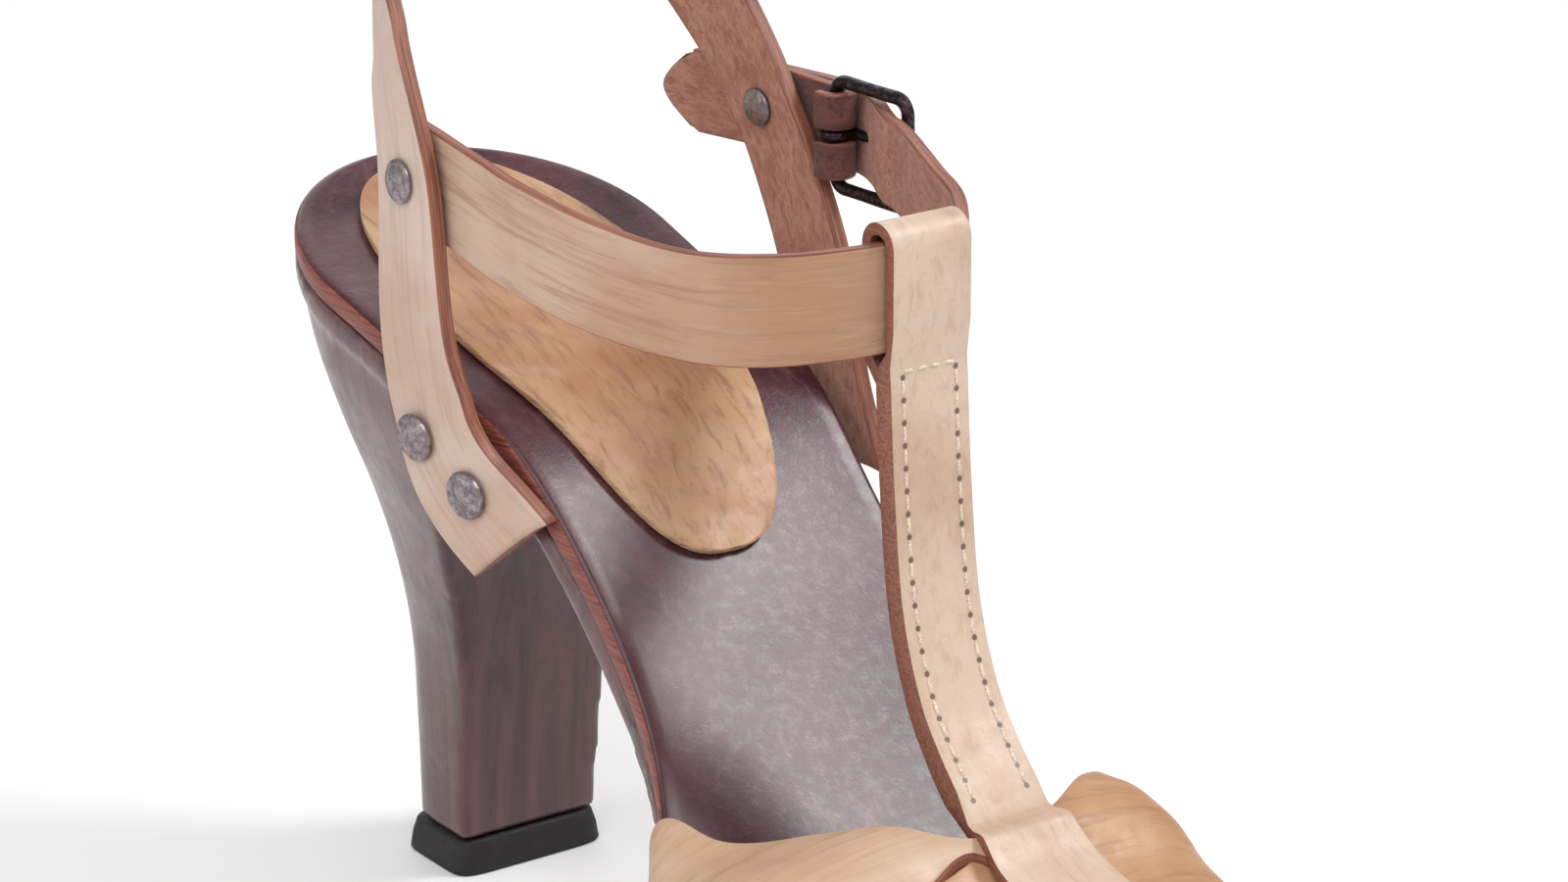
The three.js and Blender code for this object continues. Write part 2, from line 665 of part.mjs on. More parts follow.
const BAND_SLACK = 0.1;
const bandInside = -(BUCKLE_BAR / 2 + GAP + BAND_THICKNESS / 2 + BAND_SLACK);
const bandOutside = BAR_HOLE + FOLD_THICKNESS + GAP + BAND_THICKNESS / 2 + BAND_SLACK;
const bandPoints = [
  ...BAND.map((row) => place(row.side * BALL_WIDTH, row.along * LENGTH, rivetHeight - row.drop * SLING_RISE)),
  ...BAND_END.map((row) => byBuckle(row.forward * BUCKLE_REACH,
    THREE.MathUtils.lerp(bandInside, bandOutside, row.level), row.drop * SLING_RISE)),
];
const bandRows = levelRows(bandPoints,
  (i) => BAND_WIDTH * (i < BAND.length ? BAND[i].width : BAND_END_WIDTH));

function strapSpot({ step, across: v }, lift) {
  const { middle, face, side, width } = slingFrame(step / SLING_STEPS);
  const point = middle.clone().addScaledVector(side, v * width / 2);
  return { point: point.addScaledVector(face, STRAP_THICKNESS / 2 + lift), normal: face };
}

// Turns a body that stands along its Y axis, so that it stands at a spot along its normal
function standAt(geometry, { point, normal }) {
  const turn = new THREE.Quaternion().setFromUnitVectors(new THREE.Vector3(0, 1, 0), normal);
  return geometry.applyQuaternion(turn).translate(point.x, point.y, point.z);
}

const PIN_RADIUS = 1.3;
const HEAD_RIM = 0.5;
const BURR_HEIGHT = 0.8;

function turned(profile) {
  return new THREE.LatheGeometry(profile.map(([r, y]) => new THREE.Vector2(r, y)), 14);
}

const dome = (radius, height) => [
  [radius, 0],
  [radius, HEAD_RIM],
  [radius * 0.87, height * 0.62 + HEAD_RIM * 0.38],
  [radius * 0.5, height * 0.92],
  [0, height],
];

function makeNail(spot) {
  return standAt(turned([[0, 0], ...dome(NAIL_RADIUS, NAIL_DOME)]), spot);
}

// Round head outside, a pin through all layers, and a flat burr inside
function makeRivet(rivet) {
  const head = rivet.over ? HEAD_RIM + 0.3 : NAIL_DOME * 0.8;
  const inside = -(rivet.over + STRAP_THICKNESS + rivet.under + 2 * GAP);
  const burr = RIVET_RADIUS * 0.9;
  return standAt(turned([
    [0, inside - BURR_HEIGHT],
    [burr, inside - BURR_HEIGHT],
    [burr, inside],
    [PIN_RADIUS, inside],
    [PIN_RADIUS, 0],
    ...dome(RIVET_RADIUS, head),
  ]), strapSpot(rivet, rivet.over + GAP));
}

function rivetHole(rivet) {
  const hole = new THREE.CylinderGeometry(PIN_RADIUS + GAP, PIN_RADIUS + GAP, 8 * STRAP_THICKNESS, 16);
  return toSolid(standAt(hole, strapSpot(rivet, 0)));
}

function makeSling() {
  const cut = (v) => 0.009 * (1 + v);
  const strap = ribbon(slingRows, STRAP_THICKNESS, 72,
    (v) => 0.018 - cut(v), (v) => 0.985 + 0.014 * v, [-1, 0, 1]);
  return toGeometry(toSolid(strap).subtract(rivetHole(RIVETS.inner)).subtract(rivetHole(RIVETS.outer)));
}

function makeBand() {
  const tip = (v) => 1 - 0.026 * Math.abs(v) ** 1.6;
  const band = toSolid(ribbon(bandRows, BAND_THICKNESS, 76, () => 0, tip, [-1, -0.5, 0.5, 1]));
  return toGeometry(band.subtract(rivetHole(RIVETS.inner)).subtract(toSolid(makeProng(GAP))));
}

// Buckle

const besideAnkle = (geometry) => geometry
  .rotateZ(THREE.MathUtils.degToRad(BUCKLE_TILT))
  .translate(rearBar.x, rearBar.y, rearBar.z);

function roundedOblong(shape, back, front, high, radius) {
  shape.absarc(front - radius, radius - high, radius, -Math.PI / 2, 0, false);
  shape.absarc(front - radius, high - radius, radius, 0, Math.PI / 2, false);
  shape.absarc(back + radius, high - radius, radius, Math.PI / 2, Math.PI, false);
  shape.absarc(back + radius, radius - high, radius, Math.PI, 1.5 * Math.PI, false);
  return shape;
}

function makeBuckle() {
  const bar = BUCKLE_BAR / 2;
  const front = BUCKLE_LENGTH - bar;
  const high = BUCKLE_LENGTH / 2;
  const corner = BUCKLE_BAR + 1.2;
  const shape = roundedOblong(new THREE.Shape(), -bar, front, high, corner);
  shape.holes.push(roundedOblong(new THREE.Path(), bar, front - BUCKLE_BAR, high - BUCKLE_BAR, corner - BUCKLE_BAR));
  const edge = BUCKLE_BAR * 0.2;
  const frame = new THREE.ExtrudeGeometry(shape, {
    depth: BUCKLE_BAR - 2 * edge,
    bevelSize: edge,
    bevelThickness: edge,
    bevelOffset: -edge,
    bevelSegments: 1,
    curveSegments: 4,
  });
  return besideAnkle(frame.translate(0, 0, edge - bar).rotateX(Math.PI / 2).rotateZ(-Math.PI / 2));
}

// Pin that swings on the rear bar and lies on the front bar; "grow" widens it into the slot it needs
function makeProng(grow) {
  const low = BUCKLE_BAR / 2 + GAP - grow;
  const high = low + 1.7 + 2 * grow;
  const ring = BAR_HOLE + 1.3;
  const end = BUCKLE_LENGTH + grow;
  const shape = new THREE.Shape();
  shape.moveTo(end, low);
  shape.lineTo(end, high - 0.6);
  shape.lineTo(end - 1, high);
  shape.lineTo(ring * 0.6, high);
  shape.absarc(0, 0, ring, Math.PI / 2, 2 * Math.PI + Math.asin(low / ring), false);
  if (grow === 0) shape.holes.push(new THREE.Path().absarc(0, 0, BAR_HOLE, 0, 2 * Math.PI, true));
  const depth = PRONG_WIDTH + 2 * grow;
  const prong = new THREE.ExtrudeGeometry(shape, { depth, bevelEnabled: false, curveSegments: 10 });
  return besideAnkle(prong.translate(0, 0, -depth / 2).rotateZ(-Math.PI / 2));
}

// Strap that is riveted on the outer side, goes forward and folds round the rear bar
const FOLD = [
  { forward: -1.477 * BUCKLE_REACH, out: 1.04 * FOLD_MIDDLE },
  { forward: -BUCKLE_REACH, out: 1.22 * FOLD_MIDDLE },
  { forward: -0.51 * BUCKLE_REACH, out: 1.04 * FOLD_MIDDLE },
  { forward: -1.6 * FOLD_MIDDLE, out: FOLD_MIDDLE },
  ...[90, 60, 30, 0, -30, -60, -90].map((degrees) => {
    const angle = THREE.MathUtils.degToRad(degrees);
    return { forward: FOLD_MIDDLE * Math.cos(angle), out: FOLD_MIDDLE * Math.sin(angle) };
  }),
  { forward: -0.56 * FOLD_MIDDLE, out: -FOLD_MIDDLE },
];

function makeBuckleStrap() {
  const points = FOLD.map((row) => byBuckle(row.forward, row.out));
  const strap = ribbon(levelRows(points, () => FOLD_WIDTH), FOLD_THICKNESS, 38,
    (v) => 0.016 * v * v, () => 1, [-1, -0.5, 0.5, 1]);
  const slotLength = 3.6 * FOLD_MIDDLE;
  const slotDepth = 3.3 * FOLD_MIDDLE;
  const slot = new THREE.BoxGeometry(slotLength, slotDepth, PRONG_WIDTH + 2 * GAP);
  return toGeometry(toSolid(strap)
    .subtract(rivetHole(RIVETS.outer))
    .subtract(toSolid(besideAnkle(slot))));
}

// Toe straps

const vampRise = through(VAMP, 'along', 'rise');
const VAMP_SQUARE = 4;
const VAMP_TILT = 1.4;

// The surface that the toe straps lie on, "off" away from the sole's sides and the foot
function vampPoint(u, along, off) {
  const { inner, outer } = footprint(along);
  const middle = (outer - inner) / 2;
  const half = (inner + outer) / 2 + off;
  const rise = INSTEP_RISE * vampRise(along / LENGTH) + off;
  const q = Math.min(Math.abs(u), 1);
  const arch = (1 - q ** VAMP_SQUARE) ** (1 / VAMP_SQUARE);
  const drop = Math.max(Math.abs(u) - 1, 0) / 0.3 * SKIRT_DROP;
  const tilt = VAMP_TILT * Math.sign(u) * q * arch;
  return place(middle + Math.sign(u) * q * half, along, rimHeight(along) + arch * rise + tilt - drop);
}

function vampStrap(rows, off, thickness, steps) {
  const back = through(rows, 'across', 'back');
  const front = through(rows, 'across', 'front');
  const first = rows[0].across;
  const last = rows[rows.length - 1].across;
  const crowd = (t) => {
    const size = Math.abs(t);
    if (size > 1) return t;
    return Math.sign(t) * (1 - (1 - size) ** 2.2);
  };
  const uncrowd = (u) => Math.abs(u) > 1 ? u : Math.sign(u) * (1 - (1 - Math.abs(u)) ** (1 / 2.2));
  const from = uncrowd(first);
  const to = uncrowd(last);
  const sheet = (lift) => Array.from({ length: steps + 1 }, (_, i) => {
    const u = crowd(from + (to - from) * i / steps);
    return Array.from({ length: 6 }, (_, j) => {
      const along = LENGTH * THREE.MathUtils.lerp(back(u), front(u), j / 5);
      return vampPoint(u, along, off(along) + lift);
    });
  });
  return slab(sheet(thickness), sheet(0));
}

// How deep one strap is sunk into the other where they are sewn
const LAP = 0.15;
const WING_LAP = 0.9;
const bandLift = () => VAMP_GAP;
const wingLift = (along) => VAMP_GAP + (VAMP_THICKNESS - WING_LAP) * smooth(0.66, 0.74, along / LENGTH);

// The T-strap is drawn in side view, with the slot of its loop, and given its width
function makeTStrap() {
  const loopRow = BAND[8];
  const loop = { along: loopRow.along * LENGTH, z: rivetHeight - loopRow.drop * SLING_RISE };
  const footAlong = T_STRAP[0].along * LENGTH;
  const footTop = rimHeight(footAlong) + INSTEP_RISE * vampRise(T_STRAP[0].along) + VAMP_THICKNESS;
  const middle = T_STRAP.map((row) => new THREE.Vector2(row.along * LENGTH,
    THREE.MathUtils.lerp(footTop, loop.z, row.rise)));
  const path = new THREE.SplineCurve(middle).getPoints(24);
  const normal = (i) => {
    const a = path[Math.max(i - 1, 0)];
    const b = path[Math.min(i + 1, path.length - 1)];
    const run = b.clone().sub(a).normalize();
    return new THREE.Vector2(run.y, -run.x);
  };
  const side = (sign, from) => path.slice(from).map((p, i) => p.clone().addScaledVector(normal(i + from), sign * T_LAYER));
  const slotHalf = BAND_THICKNESS / 2 + LOOP_GAP;
  const slotRise = BAND_WIDTH / 2 + LOOP_GAP;
  const arc = (radius, steps, rise) => Array.from({ length: steps + 1 }, (_, i) => {
    const angle = Math.PI * i / steps;
    return new THREE.Vector2(loop.along + Math.cos(angle) * radius, loop.z + rise + Math.sin(angle) * radius);
  });
  const wall = slotHalf + T_LAYER;
  const vampTop = (along, lift) => new THREE.Vector2(along, vampPoint(0.1, along, GAP + lift).z);
  const footSteps = 8;
  const footLine = Array.from({ length: footSteps + 1 },
    (_, i) => LENGTH * THREE.MathUtils.lerp(0.862, 0.752, i / footSteps));
  const overWing = (along) => smooth(0.757, 0.775, along / LENGTH);
  const footOff = (along) => VAMP_THICKNESS + GAP - 0.5 + (VAMP_THICKNESS - 0.1) * overWing(along);
  const outer = [
    ...footLine.map((along) => vampTop(along, footOff(along) + T_LAYER)),
    ...side(1, 1),
    new THREE.Vector2(loop.along + wall * 0.8, loop.z - slotRise - 1),
    new THREE.Vector2(loop.along + wall, loop.z - slotRise * 0.5),
    ...arc(wall, 8, slotRise - slotHalf),
    new THREE.Vector2(loop.along - wall, loop.z - slotRise * 0.5),
    new THREE.Vector2(loop.along - wall * 0.8, loop.z - slotRise - 1),
    ...side(-1, 1).reverse(),
    ...footLine.slice().reverse().map((along) => vampTop(along, footOff(along) - LAP)),
  ];
  const hole = [
    ...arc(slotHalf, 8, slotRise - slotHalf),
    new THREE.Vector2(loop.along - slotHalf, loop.z - slotRise + 1.2),
    new THREE.Vector2(loop.along, loop.z - slotRise - 1.6),
    new THREE.Vector2(loop.along + slotHalf, loop.z - slotRise + 1.2),
  ];
  const shape = new THREE.Shape(outer);
  shape.holes.push(new THREE.Path(hole));
  const geometry = new THREE.ExtrudeGeometry(shape, { depth: 1, bevelEnabled: false });
  const sideAt = through(T_STRAP.map((row) => ({ z: THREE.MathUtils.lerp(footTop, loop.z, row.rise), side: row.side }))
    .sort((a, b) => a.z - b.z), 'z', 'side');
  const position = geometry.attributes.position;
  for (let i = 0; i < position.count; i += 1) {
    const along = position.getX(i);
    const z = position.getY(i);
    const widen = 1 + 0.2 * smooth(0.73, 0.80, along / LENGTH);
    const x = BALL_WIDTH * sideAt(z) + (position.getZ(i) - 0.5) * T_WIDTH * widen;
    position.setXYZ(i, x, TIP_ALONG - along, z);
  }
  const bare = geometry.clone();
  bare.deleteAttribute('normal');
  bare.deleteAttribute('uv');
  const merged = mergeVertices(bare, 1e-3);
  return closed(Array.from(merged.attributes.position.array), Array.from(merged.index.array));
}

// Nails that hold the toe straps to the sole's sides
const TOE_NAILS = {
  inner_back: { across: -1.16, along: 0.700, lift: wingLift },
  inner_front: { across: -1.16, along: 0.846, lift: bandLift },
  outer_back: { across: 1.16, along: 0.735, lift: bandLift },
  outer_front: { across: 1.16, along: 0.820, lift: bandLift },
};

function vampSpot({ across: u, along: share, lift }) {
  const along = share * LENGTH;
  const off = lift(along) + VAMP_THICKNESS + GAP;
  const point = vampPoint(u, along, off);
  const run = vampPoint(u, along + 1, off).sub(vampPoint(u, along - 1, off));
  const normal = new THREE.Vector3(-run.y, run.x, 0).normalize().multiplyScalar(Math.sign(u));
  return { point, normal };
}

function makeToeStraps() {
  const band = toSolid(vampStrap(TOE_BAND, bandLift, VAMP_THICKNESS, 28));
  const wing = toSolid(vampStrap(WING, wingLift, VAMP_THICKNESS, 22));
  return toGeometry(band.add(wing).add(toSolid(makeTStrap())));
}

const group = new THREE.Group();

function add(name, geometry, color, roughness, metalness) {
  const mesh = new THREE.Mesh(geometry, new THREE.MeshStandardMaterial({ color, roughness, metalness }));
  mesh.name = name;
  group.add(mesh);
  return mesh;
}

const TAN = 0xc9a27c;
const WOOD = 0x5a3434;
const FOOTBED = 0x6b3f44;
const RUBBER = 0x2b2426;
const DARK_METAL = 0x3a3236;
const PEWTER = 0x7f736d;
const SEAT_SLACK = 0.15;

add('heel_tip', makeHeelTip(), RUBBER, 0.7, 0);
add('wooden_sole', makeWoodenSole(), WOOD, 0.4, 0);
add('forefoot_tread', makeTread(), RUBBER, 0.8, 0);
add('footbed', makeFootbed(), FOOTBED, 0.35, 0);
add('heel_pad', makeHeelPad(), TAN, 0.6, 0);
add('toe_and_t_strap', makeToeStraps(), TAN, 0.6, 0);
add('ankle_band', makeBand(), TAN, 0.6, 0);
add('back_strap', makeSling(), TAN, 0.6, 0);
add('buckle_strap', makeBuckleStrap(), TAN, 0.6, 0);
add('buckle_frame', makeBuckle(), DARK_METAL, 0.45, 1);
add('buckle_prong', makeProng(0), DARK_METAL, 0.45, 1);
for (const [name, rivet] of Object.entries(RIVETS)) {
  add(`strap_rivet_${name}`, makeRivet(rivet), PEWTER, 0.45, 1);
}
for (const [name, nail] of Object.entries(NAILS)) {
  add(`strap_nail_${name}`, makeNail(strapSpot(nail, GAP + SEAT_SLACK)), PEWTER, 0.45, 1);
}
for (const [name, nail] of Object.entries(TOE_NAILS)) {
  add(`toe_nail_${name}`, makeNail(vampSpot(nail)), PEWTER, 0.45, 1);
}

export default group;
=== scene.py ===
"""Looks of a left high-heeled sandal: carved wooden sole, leather footbed, veg-tan straps, dark metal."""
import math

import bmesh
import bpy
import numpy as np
from mathutils import Matrix, Vector
from mathutils.geometry import tessellate_polygon


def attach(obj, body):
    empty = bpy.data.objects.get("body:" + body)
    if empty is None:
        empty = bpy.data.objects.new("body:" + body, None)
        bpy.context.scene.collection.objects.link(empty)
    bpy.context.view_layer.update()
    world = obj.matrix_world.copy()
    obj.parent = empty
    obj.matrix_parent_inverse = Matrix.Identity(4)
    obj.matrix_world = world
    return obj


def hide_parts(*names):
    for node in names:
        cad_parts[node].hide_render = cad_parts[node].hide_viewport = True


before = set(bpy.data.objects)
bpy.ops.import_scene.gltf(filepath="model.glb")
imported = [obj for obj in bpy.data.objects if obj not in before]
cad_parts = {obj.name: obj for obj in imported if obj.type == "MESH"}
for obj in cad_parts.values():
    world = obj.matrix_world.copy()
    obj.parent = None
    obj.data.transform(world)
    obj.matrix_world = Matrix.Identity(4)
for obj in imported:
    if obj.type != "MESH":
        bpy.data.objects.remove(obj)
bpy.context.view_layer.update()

MM = 0.001

# Driving sizes in millimetres, the same as the model's
LENGTH = 224
BALL_WIDTH = 82
SEAT_HEIGHT = 118.4
FOREFOOT_HEIGHT = 22
SEAT_ROUND = 34.5
TOE_ROUND = 48
TOE_SWING = 6
FOOTBED_THICKNESS = 3.6
SHANK_THICKNESS = 4.2
SEAT_CUP = 2.2
TREAD_THICKNESS = 3
TREAD_INSET = 0.8
TIP_WIDTH = 30
TIP_DEPTH = 19.4
TIP_HEIGHT = 6
TIP_FLARE = 1.2
TIP_ALONG = 32.6
BREAST_ALONG = 70
PAD_THICKNESS = 1.4
PAD_LENGTH = 94
PAD_WIDTH = 47
PAD_BACK = 6.5
PAD_SWING = 1.2
STRAP_THICKNESS = 2.6
BAND_THICKNESS = 2.2
VAMP_THICKNESS = 2.2
T_LAYER = 1.9
T_WIDTH = 14.6
BAND_WIDTH = 17.4
SLING_WIDTH = 20
SLING_RISE = 72.8
INSTEP_RISE = 26
SKIRT_DROP = 13
BUCKLE_BAR = 2.2
BUCKLE_LENGTH = 20.2
BUCKLE_REACH = 17.6
BUCKLE_TILT = 4
BUCKLE_STANDOFF = 0.1
FOLD_THICKNESS = 1.9
PRONG_WIDTH = 1.9
RIVET_RADIUS = 3.6
PIN_RADIUS = 1.3
BURR_HEIGHT = 0.8
NAIL_RADIUS = 4
NAIL_DOME = 1.6
GAP = 0.3
LOOP_GAP = 1
VAMP_GAP = 0.5
LAP = 0.15
WING_LAP = 0.9
SEAT_SLACK = 0.15


def table(names, *rows):
    """A table's columns by name"""
    return dict(zip(names.split(), np.array(rows, float).T))


# Half widths of the footprint, as shares of the ball width
OUTLINE = table("along inner outer",
    (0.154, 0.409, 0.409), (0.268, 0.389, 0.400), (0.357, 0.340, 0.397), (0.446, 0.318, 0.389),
    (0.536, 0.345, 0.411), (0.594, 0.421, 0.418), (0.647, 0.518, 0.432), (0.701, 0.552, 0.451),
    (0.750, 0.553, 0.452), (0.786, 0.546, 0.445))
# Top line of the rim, as shares of the drop from the seat to the forefoot
RIM = table("along rise",
    (0.000, 1.000), (0.134, 0.916), (0.268, 0.826), (0.357, 0.743), (0.446, 0.563), (0.536, 0.356),
    (0.594, 0.227), (0.647, 0.121), (0.696, 0.050), (0.750, 0.009), (0.804, 0.000), (0.893, 0.012),
    (1.000, 0.062))
# Underside of the wood ahead of the shank
UNDERSIDE = table("along foot rise",
    (0.600, 0.574, 1.625), (0.634, 0.610, 1.240), (0.656, 0.632, 0.820), (0.674, 0.647, 0.400),
    (0.688, 0.660, 0.000), (0.745, 0.735, 0.000), (0.848, 0.846, 0.000), (0.900, 0.896, 0.055),
    (1.000, 0.988, 0.360))
# Growth of the heel block from its tip to the seat
HEEL = table("rise side back breast",
    (0.00, 0.00, 0.00, 0.00), (0.20, 0.02, 0.01, 0.04), (0.36, 0.06, 0.05, 0.10),
    (0.52, 0.22, 0.14, 0.17), (0.66, 0.45, 0.30, 0.26), (0.78, 0.70, 0.50, 0.40),
    (0.90, 0.91, 0.78, 0.66), (1.00, 1.00, 1.00, 1.00))
# Rise of the toe straps over the rim, as shares of the instep rise
VAMP = table("along rise",
    (0.580, 0.30), (0.638, 0.44), (0.692, 0.80), (0.737, 0.97), (0.759, 0.96), (0.795, 0.76),
    (0.848, 0.62), (0.930, 0.46))
# Edges of the toe band and of the wing, from the inner to the outer side
TOE_BAND = table("across back front",
    (-1.30, 0.772, 0.868), (-1.00, 0.768, 0.884), (-0.30, 0.778, 0.915), (0.00, 0.768, 0.921),
    (0.38, 0.750, 0.915), (1.00, 0.688, 0.862), (1.30, 0.705, 0.846))
WING = table("across back front",
    (-1.30, 0.640, 0.800), (-1.00, 0.598, 0.822), (-0.65, 0.641, 0.808), (-0.36, 0.693, 0.788),
    (-0.24, 0.716, 0.780), (-0.05, 0.757, 0.770), (0.10, 0.766, 0.790))
# Back strap from the inner sole side, round the ankle, to the outer sole side
SLING = table("side along rise width turn",
    (-0.355, 0.388, -0.175, 1.00, -14), (-0.400, 0.324, -0.137, 1.00, -10),
    (-0.425, 0.299, 0.070, 0.94, -3), (-0.432, 0.291, 0.468, 0.77, 0),
    (-0.415, 0.263, 0.661, 0.66, 8), (-0.372, 0.228, 0.775, 0.62, 22),
    (-0.265, 0.150, 0.905, 0.60, 48), (-0.130, 0.095, 0.978, 0.60, 72),
    (0.000, 0.078, 1.000, 0.60, 90), (0.130, 0.095, 0.972, 0.62, 108),
    (0.265, 0.145, 0.885, 0.68, 132), (0.365, 0.200, 0.720, 0.76, 158),
    (0.412, 0.240, 0.590, 0.80, 172), (0.437, 0.286, 0.420, 0.82, 180),
    (0.445, 0.330, 0.210, 0.90, 180), (0.447, 0.353, -0.040, 0.98, 182),
    (0.447, 0.384, -0.190, 1.00, 183))
# Ankle band from inside the inner riser, through the T-strap's loop, to the buckle
BAND = table("side along drop width",
    (-0.384, 0.250, -0.005, 1.00), (-0.389, 0.291, 0.003, 1.00), (-0.394, 0.345, 0.020, 1.00),
    (-0.388, 0.404, 0.052, 1.00), (-0.335, 0.468, 0.100, 1.00), (-0.242, 0.532, 0.132, 1.00),
    (-0.150, 0.584, 0.124, 1.00), (-0.037, 0.616, 0.104, 1.00), (0.110, 0.620, 0.100, 0.98),
    (0.222, 0.613, 0.095, 0.95), (0.305, 0.570, 0.072, 0.91), (0.366, 0.504, 0.040, 0.87))
LOOP_ROW = 8
# Its last stretch, drawn about the buckle's rear bar
BAND_END = table("forward level drop",
    (1.247, -0.240, 0.020), (0.875, 0.043, 0.014), (0.528, 0.513, 0.012), (0.131, 0.953, 0.013),
    (-0.307, 1.119, 0.018), (-1.261, 1.289, 0.032), (-2.020, 1.320, 0.048), (-3.050, 1.355, 0.068))
BAND_END_WIDTH = 0.84
# Middle of the T-strap in side view, from its foot up to the band
T_STRAP = table("along rise side",
    (0.736, 0.035, 0.055), (0.708, 0.105, 0.064), (0.680, 0.205, 0.072), (0.654, 0.370, 0.084),
    (0.637, 0.600, 0.098), (0.627, 0.820, 0.108))
# Rivets and nails: how far along the back strap's path, and across it
RIVETS = {
    "inner": {"step": 3, "over": 0, "under": BAND_THICKNESS + 1.4},
    "outer": {"step": 12.8, "over": FOLD_THICKNESS + 0.95, "under": 0},
}
NAILS = {
    "inner_back": (1.38, -0.42),
    "inner_front": (0.72, 0.12),
    "outer_back": (14.7, -0.36),
    "outer_front": (15.4, 0.12),
}


# Curves

def ease(a, b, t):
    s = np.clip((np.asarray(t, float) - a) / (b - a), 0, 1)
    return s * s * (3 - 2 * s)


def lerp(a, b, s):
    return a + (b - a) * s


def through(keys, values):
    """Smooth curve through a table's column, which never swings past its rows"""
    rise = np.diff(values) / np.diff(keys)
    before, after = rise[:-1], rise[1:]
    limit = 3 * np.minimum(abs(before), abs(after))
    turn = np.sign(before) * np.minimum(abs(before + after) / 2, limit)
    slope = np.concatenate([rise[:1], np.where(before * after <= 0, 0, turn), rise[-1:]])

    def at(t):
        x = np.clip(t, keys[0], keys[-1])
        i = np.clip(np.searchsorted(keys, x, side="right") - 1, 0, len(keys) - 2)
        span = keys[i + 1] - keys[i]
        s = (x - keys[i]) / span
        h = 1 - s
        ends = values[i] * h * h * (1 + 2 * s) + values[i + 1] * s * s * (1 + 2 * h)
        return ends + span * s * h * (slope[i] * h - slope[i + 1] * s)
    return at


def centripetal(points):
    """Curve through points of space, its parameter 0 to 1 spread evenly over them"""
    points = np.asarray(points, float)
    ends = np.vstack([2 * points[0] - points[1], points, 2 * points[-1] - points[-2]])
    last = len(points) - 1

    def at(t):
        place = np.clip(t, 0, 1) * last
        i = min(int(place), last - 1)
        s = place - i
        p0, p1, p2, p3 = ends[i:i + 4]
        d0, d1, d2 = (math.sqrt(np.linalg.norm(b - a)) for a, b in ((p0, p1), (p1, p2), (p2, p3)))
        m1 = ((p1 - p0) / d0 - (p2 - p0) / (d0 + d1) + (p2 - p1) / d1) * d1
        m2 = ((p2 - p1) / d1 - (p3 - p1) / (d1 + d2) + (p3 - p2) / d2) * d1
        bend = (-3 * p1 + 3 * p2 - 2 * m1 - m2) + (2 * p1 - 2 * p2 + m1 + m2) * s
        return p1 + m1 * s + bend * s * s
    return at


def place(x, along, z):
    x, along, z = np.broadcast_arrays(x, along, z)
    return np.stack([x, TIP_ALONG - along, z], -1).astype(float)


def unit(v):
    return v / np.linalg.norm(v)


# Footprint and rim

inner_share = through(OUTLINE["along"], OUTLINE["inner"])
outer_share = through(OUTLINE["along"], OUTLINE["outer"])
rim_share = through(RIM["along"], RIM["rise"])
TOE_POWER = 2.3


def footprint(along):
    along = np.asarray(along, float)
    toe_start = LENGTH - TOE_ROUND
    share = np.clip(along, SEAT_ROUND, toe_start) / LENGTH
    heel = np.sqrt(1 - np.clip((SEAT_ROUND - along) / SEAT_ROUND, 0, 1) ** 2)
    inner = BALL_WIDTH * inner_share(share) * heel
    outer = BALL_WIDTH * outer_share(share) * heel
    s = np.clip((along - toe_start) / TOE_ROUND, 0, 1)
    half = (inner + outer) / 2 * (1 - s ** TOE_POWER) ** (1 / TOE_POWER)
    middle = (outer - inner) / 2 - TOE_SWING * s * s
    return half - middle, half + middle


def rim_height(along):
    return FOREFOOT_HEIGHT + (SEAT_HEIGHT - FOREFOOT_HEIGHT) * rim_share(np.asarray(along) / LENGTH)


def sole_profile(along, depth):
    """Station and height of a point under the rim, square to the rim's side view"""
    step = 0.5
    slope = (rim_height(along + step) - rim_height(along - step)) / (2 * step)
    lean = -slope * ease(0, SEAT_ROUND * 1.6, along)
    size = np.hypot(lean, 1)
    return along - depth * lean / size, rim_height(along) - depth / size


def across(along, v, inset=0):
    inner, outer = footprint(along)
    return (outer - inner) / 2 + v * ((inner + outer) / 2 - inset)


CUP_RUN = SEAT_ROUND * 0.5


def cup(along, v):
    shallow = 1 - 0.45 * ease(SEAT_ROUND, LENGTH * 0.5, along)
    ends = ease(0, CUP_RUN, along) * ease(LENGTH, LENGTH - CUP_RUN, along)
    return SEAT_CUP * (1 - v * v) * shallow * ends


def sole_stations(middle, ends):
    """Stations that follow the seat's and the toe's round by angle"""
    turn = np.linspace(0, math.pi / 2, ends + 1)
    heel = SEAT_ROUND * (1 - np.cos(turn))
    toe = LENGTH - TOE_ROUND * (1 - np.cos(turn[::-1]))
    return np.concatenate([heel, np.linspace(SEAT_ROUND, LENGTH - TOE_ROUND, middle + 2)[1:-1], toe])


# Meshes

def link(piece, nodes):
    """Places a finished piece under its body and hides the model's parts that it stands for"""
    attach(piece, "root")
    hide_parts(*nodes)
    return piece


